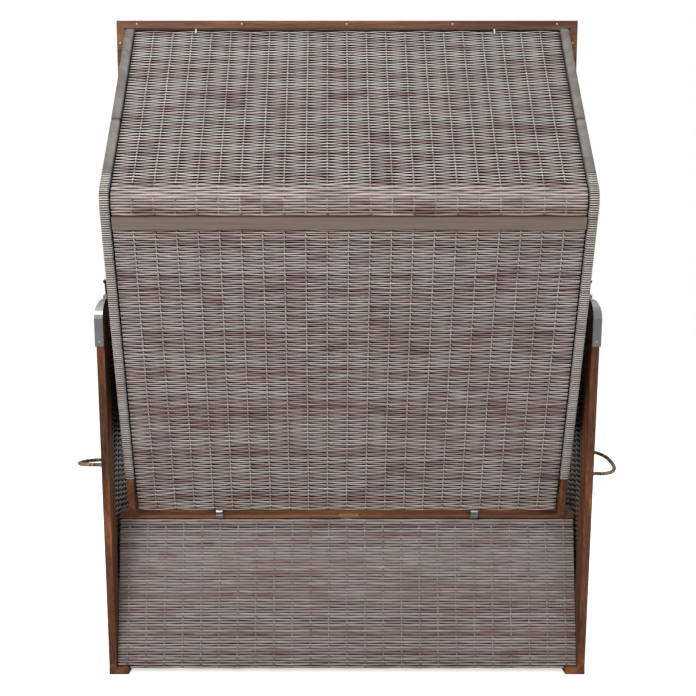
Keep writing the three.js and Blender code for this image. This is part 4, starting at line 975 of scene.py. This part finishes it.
def puffOut(thing, points):
    # Shrinks the pad a little, blows it up as cloth and caps how far each point has moved.
    mesh = thing.data
    start = points - vectors(mesh, "normal") * puff["shrink"]
    movePoints(mesh, start)
    cloth = thing.modifiers.new("cloth", "CLOTH")
    cloth.settings.use_pressure = True
    cloth.settings.uniform_pressure_force = puff["pressure"]
    cloth.settings.effector_weights.gravity = 0
    cloth.point_cache.frame_end = puff["frames"]
    for number in range(1, puff["frames"] + 1):
        scene.frame_set(number)
    shaped = thing.evaluated_get(bpy.context.evaluated_depsgraph_get()).to_mesh()
    moved = vectors(shaped, "co") - start
    thing.to_mesh_clear()
    thing.modifiers.remove(cloth)
    scene.frame_set(1)
    reach = np.linalg.norm(moved, axis=1, keepdims=True)
    return start + moved * np.minimum(1, puff["cap"] / np.maximum(reach, 1e-9))


def makeCushion(kind):
    size = cushions[kind]
    thing = copyOf(bpy.data.objects[f"{size['node']}_left"], f"{kind}_pad_left")
    editMesh(thing, lambda: bpy.ops.mesh.remove_doubles(threshold=0.00005), facesOut)
    # Its own axes: across, along and up out of the board that it lies on.
    lean = math.radians(size["lean"])
    axes = np.array([[1.0, 0, 0], [0, math.cos(lean), math.sin(lean)], [0, -math.sin(lean), math.cos(lean)]])
    solid = vectors(thing.data, "co") @ axes.T
    low, high = solid.min(axis=0), solid.max(axis=0)
    remesh = thing.modifiers.new("remesh", "REMESH")
    remesh.mode = "VOXEL"
    remesh.voxel_size = size["voxel"] * 1
    bpy.ops.object.modifier_apply(modifier="remesh")
    points = puffOut(thing, vectors(thing.data, "co").astype(float)) @ axes.T
    # Back into the room that its solid holds: full width and length, flat underneath, a little proud on top.
    nowLow, nowHigh = points.min(axis=0), points.max(axis=0)
    centre, half = (low + high) / 2, (high - low) / 2
    for axis in (0, 1):
        scale = (2 * half[axis] - puff["sideRoom"]) / (nowHigh[axis] - nowLow[axis])
        points[:, axis] = centre[axis] + (points[:, axis] - (nowLow[axis] + nowHigh[axis]) / 2) * scale
    height, middle = points[:, 2], centre[2]
    top = high[2] + puff["proud"]
    scale = (top - middle) / (nowHigh[2] - middle)
    height = np.where(height > middle, middle + (height - middle) * scale, height)
    across = (points[:, 0] - centre[0]) / half[0]
    for share in size["channels"]:
        away = (points[:, 1] - (centre[1] + share * half[1])) / puff["channelWidth"]
        sewn = puff["channelDepth"] * np.exp(-away ** 2) * (1 - np.abs(across) ** 8)
        height = height - sewn * np.clip((height - middle) / (top - middle), 0, 1)
    points[:, 2] = np.maximum(height, low[2] + puff["rest"])
    movePoints(thing.data, points @ axes)
    editMesh(thing, bpy.ops.mesh.faces_shade_smooth)
    return thing


def layCushions(material):
    for kind, size in cushions.items():
        left = makeCushion(kind)
        right = copyOf(left, f"{kind}_pad_right")
        movePoints(right.data, vectors(right.data, "co") * (-1, 1, 1))
        editMesh(right, facesOut)
        for side, thing in (("left", left), ("right", right)):
            body = f"footrest_{side}" if size["body"] == "footrest" else size["body"]
            dress(thing, body, "fabric", material, f"{size['node']}_{side}")
        print("Cushion:", kind, len(left.data.polygons))


# The awning's cloth, from its hinge line to the bow, with a sag and a few soft waves.
awning = {"y": 12.05, "z": 1558.67, "lean": 8, "half": 535, "reach": 229, "start": 8, "endGap": 0.6, "sag": 9,
          "thickness": 1.6, "waves": 5, "waveHeight": 1.6}


def layAwning(material):
    size = awning
    lean = math.radians(size["lean"])
    x, share = np.meshgrid(np.linspace(-size["half"], size["half"], 81), np.linspace(0, 1, 25))
    forward = size["start"] + (size["reach"] - size["start"] - size["endGap"]) * share
    wave = size["waveHeight"] * np.sin(x / size["half"] * math.pi * size["waves"])
    hang = (wave - size["sag"]) * 4 * share * (1 - share)
    layers = []
    for height in (hang, hang + size["thickness"]):
        y = size["y"] - forward * math.cos(lean) + height * math.sin(lean)
        z = size["z"] + forward * math.sin(lean) + height * math.cos(lean)
        layers.append(metres(x, y, z))
    thing = thinSheet("awning_sheet", layers)
    dress(thing, "awning", "awning_cloth", material, "awning_cloth")


# Rope handles: a strand wound closely round a core, along the handle's bow, whose shape is given as shares of
# its reach and of its half length.
handles = {"radius": 4.3, "wind": 3.9, "proud": 0.75, "near": 60, "far": -112, "z": 519, "axisX": 599.8,
           "tip": 670.2, "shares": ((0.07, 1), (0.4, 1.02), (0.72, 0.88), (0.94, 0.52), (1, 0)),
           "turn": ((0, 0), (0.2, 0.75), (0.5, 1), (0.8, 0.75)), "sides": 12, "slant": 1.1,
           "tilt": {"left": -7, "right": 15}, "eyeMajor": 4.8, "eyeMinor": 2.2, "eyeStretch": 2.3}


def smoothPath(points, each=24):
    # A centripetal curve through the points.
    points = np.asarray(points, dtype=float)
    points = np.concatenate([[2 * points[0] - points[1]], points, [2 * points[-1] - points[-2]]])
    out = []
    for k in range(1, len(points) - 2):
        p = points[k - 1:k + 3]
        t = np.concatenate([[0], np.cumsum(np.sqrt(np.linalg.norm(np.diff(p, axis=0), axis=1)))])
        for u in np.linspace(t[1], t[2], each, endpoint=k == len(points) - 3):
            a = [((t[i + 1] - u) * p[i] + (u - t[i]) * p[i + 1]) / (t[i + 1] - t[i]) for i in range(3)]
            b = [((t[i + 2] - u) * a[i] + (u - t[i]) * a[i + 1]) / (t[i + 2] - t[i]) for i in range(2)]
            out.append(((t[2] - u) * b[0] + (u - t[1]) * b[1]) / (t[2] - t[1]))
    return np.array(out)


def handleLine(side):
    # Middle and half length along y, and the tilt that puts one end of a handle higher.
    half = (handles["near"] - handles["far"]) / 2
    return (handles["near"] + handles["far"]) / 2, half, math.atan2(-handles["tilt"][side], half)


def ropeHandle(side, sign):
    size = handles
    middle, half, tilt = handleLine(side)
    reach = size["tip"] - size["axisX"]
    bow = [(size["axisX"] + out * reach, along * half) for out, along in size["shares"]]
    corners = [(x, middle - y, 0) for x, y in bow] + [(x, middle + y, 0) for x, y in bow[-2::-1]]
    path = smoothPath(corners)
    steps = np.concatenate([[0], np.cumsum(np.linalg.norm(np.diff(path, axis=0), axis=1))])
    random = np.random.default_rng(61)
    stations, radius, row = [], [], []
    s = 0.0
    while s < steps[-1] - size["wind"]:
        tone = random.uniform()
        for share, proud in size["turn"]:
            stations.append(s + share * size["wind"])
            swell = proud * size["proud"] * random.uniform(0.85, 1.1)
            radius.append(size["radius"] - size["proud"] / 2 + swell)
            row.append(tone)
        s += size["wind"]
    stations = np.array(stations + [steps[-1]])
    radius = np.array(radius + [size["radius"]])
    centre = np.stack([np.interp(stations, steps, path[:, k]) for k in range(3)], axis=1)
    tangent = np.gradient(centre, axis=0)
    tangent /= np.linalg.norm(tangent, axis=1)[:, None]
    out = np.stack([tangent[:, 1], -tangent[:, 0], np.zeros(len(centre))], axis=1)[:, None]
    angle = np.arange(size["sides"]) / size["sides"] * 2 * math.pi
    cos, sin = np.cos(angle)[None, :, None], np.sin(angle)[None, :, None]
    ring = cos * out + sin * np.array([0, 0, 1.0])
    points = centre[:, None] + ring * radius[:, None, None] + sin * tangent[:, None] * size["slant"]
    y = (points[..., 1] - middle) * math.cos(tilt) - points[..., 2] * math.sin(tilt) + middle
    z = (points[..., 1] - middle) * math.sin(tilt) + points[..., 2] * math.cos(tilt) + size["z"]
    bundle = Bundle()
    bundle.strand(metres(sign * points[..., 0], y, z), row + [0.5], stations / 1000, angle / (2 * math.pi),
                  np.zeros(size["sides"]))
    rope = bundle.build(f"bast_rope_{side}")
    editMesh(rope, facesOut)
    return rope


def eyeRing(side, sign, end):
    # A steel eye at the end of the rope, round the pin of its plate.
    size = handles
    middle, half, tilt = handleLine(side)
    y, z = middle + end * half * math.cos(tilt), size["z"] + end * half * math.sin(tilt)
    place = metres(sign * size["axisX"], y, z)
    pick()
    bpy.ops.mesh.primitive_torus_add(
        location=tuple(place), rotation=(math.radians(90) + tilt, 0, 0), major_radius=size["eyeMajor"] / 1000,
        minor_radius=size["eyeMinor"] / 1000, major_segments=20, minor_segments=10)
    ring = bpy.context.object
    ring.name = f"rope_eye_{side}_{'rear' if end > 0 else 'front'}"
    bpy.ops.transform.resize(value=(1, size["eyeStretch"], 1), orient_type="GLOBAL")
    settle(ring)
    bpy.ops.object.shade_smooth()
    return ring


def hangHandles(zinc):
    material = ropeMaterial("bast")
    for side, sign in sides:
        pieces = [(ropeHandle(side, sign), material)] + [(eyeRing(side, sign, end), zinc) for end in (1, -1)]
        for thing, finished in pieces:
            dress(thing, f"handle_{side}", "rope", finished, f"rope_handle_{side}")
    print("Handles hung")


# Two boards are notched where the CAD solids would show: the skids' tails under the woven back, and the
# inner frame's partition, which stops above the floor.
notches = {
    "skid_left": ("skid_board_left", (540, 571.9), (11.5, 40), (17.5, 40)),
    "skid_right": ("skid_board_right", (-571.9, -540), (11.5, 40), (17.5, 40)),
    "inner_frame": ("inner_frame_boards", (-30, 30), (-130, 40), (-5, 16)),
}


def cutBox(thing, low, high):
    # Takes a box between two corners out of a piece.
    pick()
    bpy.ops.mesh.primitive_cube_add(size=1, location=tuple((Vector(low) + Vector(high)) / 2))
    box = bpy.context.object
    bpy.ops.transform.resize(value=tuple(Vector(high) - Vector(low)))
    settle(box)
    pick(thing)
    cut = thing.modifiers.new("cut", "BOOLEAN")
    cut.operation = "DIFFERENCE"
    cut.solver = "EXACT"
    cut.object = box
    bpy.ops.object.modifier_apply(modifier="cut")
    bpy.data.objects.remove(box)


def notchBoards():
    for node, (name, *spans) in notches.items():
        source = bpy.data.objects[node]
        board = copyOf(source, name)
        low, high = (metres(*corner) for corner in zip(*spans))
        cutBox(board, low, high)
        dress(board, "base", "mahogany", source.data.materials[0], node)
    print("Boards notched")


# The hinge leaves, narrower than the blocks they stand for, and between each pair a knuckle in zinc lighter
# than the leaves', as a painted highlight.
hinges = {"share": 0.76, "x": 320, "y": 1.2, "z": 399.5, "radius": 3.6, "length": 17, "bevel": 0.6}


def shapeHinges():
    size = hinges
    highlightZinc = metalMaterial("knuckle")
    for side, sign in sides:
        centre = tuple(metres(sign * size["x"], size["y"], size["z"]))
        for node, body in (("rail_hinge", "base"), ("hood_hinge", "hood")):
            source = bpy.data.objects[f"{node}_{side}"]
            leaf = copyOf(source, f"{node}_leaf_{side}")
            narrower = (size["share"], 1, 1)
            editMesh(leaf, lambda: bpy.ops.transform.resize(value=narrower, center_override=centre))
            dress(leaf, body, "zinc", source.data.materials[0], f"{node}_{side}")
        pick()
        bpy.ops.mesh.primitive_cylinder_add(
            vertices=32, radius=size["radius"] / 1000, depth=size["length"] / 1000, location=centre,
            rotation=(0, math.radians(90), 0))
        knuckle = bpy.context.object
        knuckle.name = f"hinge_knuckle_{side}"
        settle(knuckle)
        editMesh(knuckle, lambda: bpy.ops.mesh.bevel(offset=size["bevel"] / 1000, segments=2))
        dress(knuckle, "hood", "zinc", highlightZinc)
    print("Hinges shaped")


# Screws, as (node, x, z, radius): each sits where a ray from the rear meets the node. The head's size is in
# shares of its radius.
screws = {
    "hood": [("front_frame", x, 1610, 2.8) for x in (-518, -260, 1, 260, 519)]
    + [("front_frame", x, 1565, 2.8) for x in (-557, 561)],
    "base": [("post_cap_left", 582.6, 831, 3), ("post_cap_right", -582.6, 831, 3),
             ("rail_hinge_left", 320, 386.5, 3.4), ("rail_hinge_right", -320, 386.5, 3.4),
             ("rail_plate", -26, 388, 1.5), ("rail_plate", 16.6, 388, 1.5)],
}
screwHead = {"height": 0.4, "slotLength": 0.6, "slotWidth": 0.11, "slotFloor": 0.22}


def makeScrewHead():
    size = screwHead
    pick()
    bpy.ops.mesh.primitive_uv_sphere_add(segments=20, ring_count=10, radius=1)
    head = bpy.context.object
    bpy.ops.transform.resize(value=(1, 1, size["height"]))
    settle(head)
    long, wide = size["slotLength"], size["slotWidth"]
    for x, y in ((long, wide), (wide, long)):
        cutBox(head, (-x, -y, size["slotFloor"]), (x, y, long))
    return head


def driveScrews():
    material = metalMaterial("screw")
    head = makeScrewHead()
    for body, places in screws.items():
        placed = []
        for number, (node, x, z, radius) in enumerate(places):
            source = bpy.data.objects[node]
            inverse = source.matrix_world.inverted()
            start = inverse @ Vector((x / 1000, 2, z / 1000))
            found, where, normal, face = source.ray_cast(start, inverse.to_3x3() @ Vector((0, -1, 0)))
            if not found:
                print("No place for a screw on", node)
                continue
            thing = copyOf(head, f"{body}_screw_{number + 1}")
            thing.scale = (radius / 1000,) * 3
            thing.rotation_euler = (source.matrix_world.to_3x3() @ normal).to_track_quat("Z", "Y").to_euler()
            thing.location = source.matrix_world @ where
            settle(thing)
            placed.append(thing)
        pick(placed[0])
        for thing in placed:
            thing.select_set(True)
        bpy.ops.object.join()
        placed[0].name = f"{body}_screws"
        dress(placed[0], body, "zinc", material)
        print("Screws driven:", body, len(placed))
    bpy.data.objects.remove(head)


makeCamera()
studio()
# The near-black sheets behind and within the weaves are painted shade.
shadeSheetPaint = plainPaint("backing", backing["colour"], 1.0, 0.3)
hoodPanels()
basePanel(shadeSheetPaint)
wallStrand = strandMaterial("wall", across=1)
baseWalls(wallStrand, shadeSheetPaint)
hoodWalls(wallStrand, shadeSheetPaint)
rims(strandMaterial("rim"))
stretchSheet("hood_backing", backing, shadeSheetPaint)
uprightWood, acrossWood, zinc = finishFrame()
layTopStrip(acrossWood)
laySills(acrossWood)
layBattens(uprightWood)
notchBoards()
driveScrews()
shapeHinges()
cloth = fabricMaterial("striped_cloth")
stretchSheet("hood_lining", lining, cloth)
layAwning(cloth)
hangHandles(zinc)
layCushions(cloth)
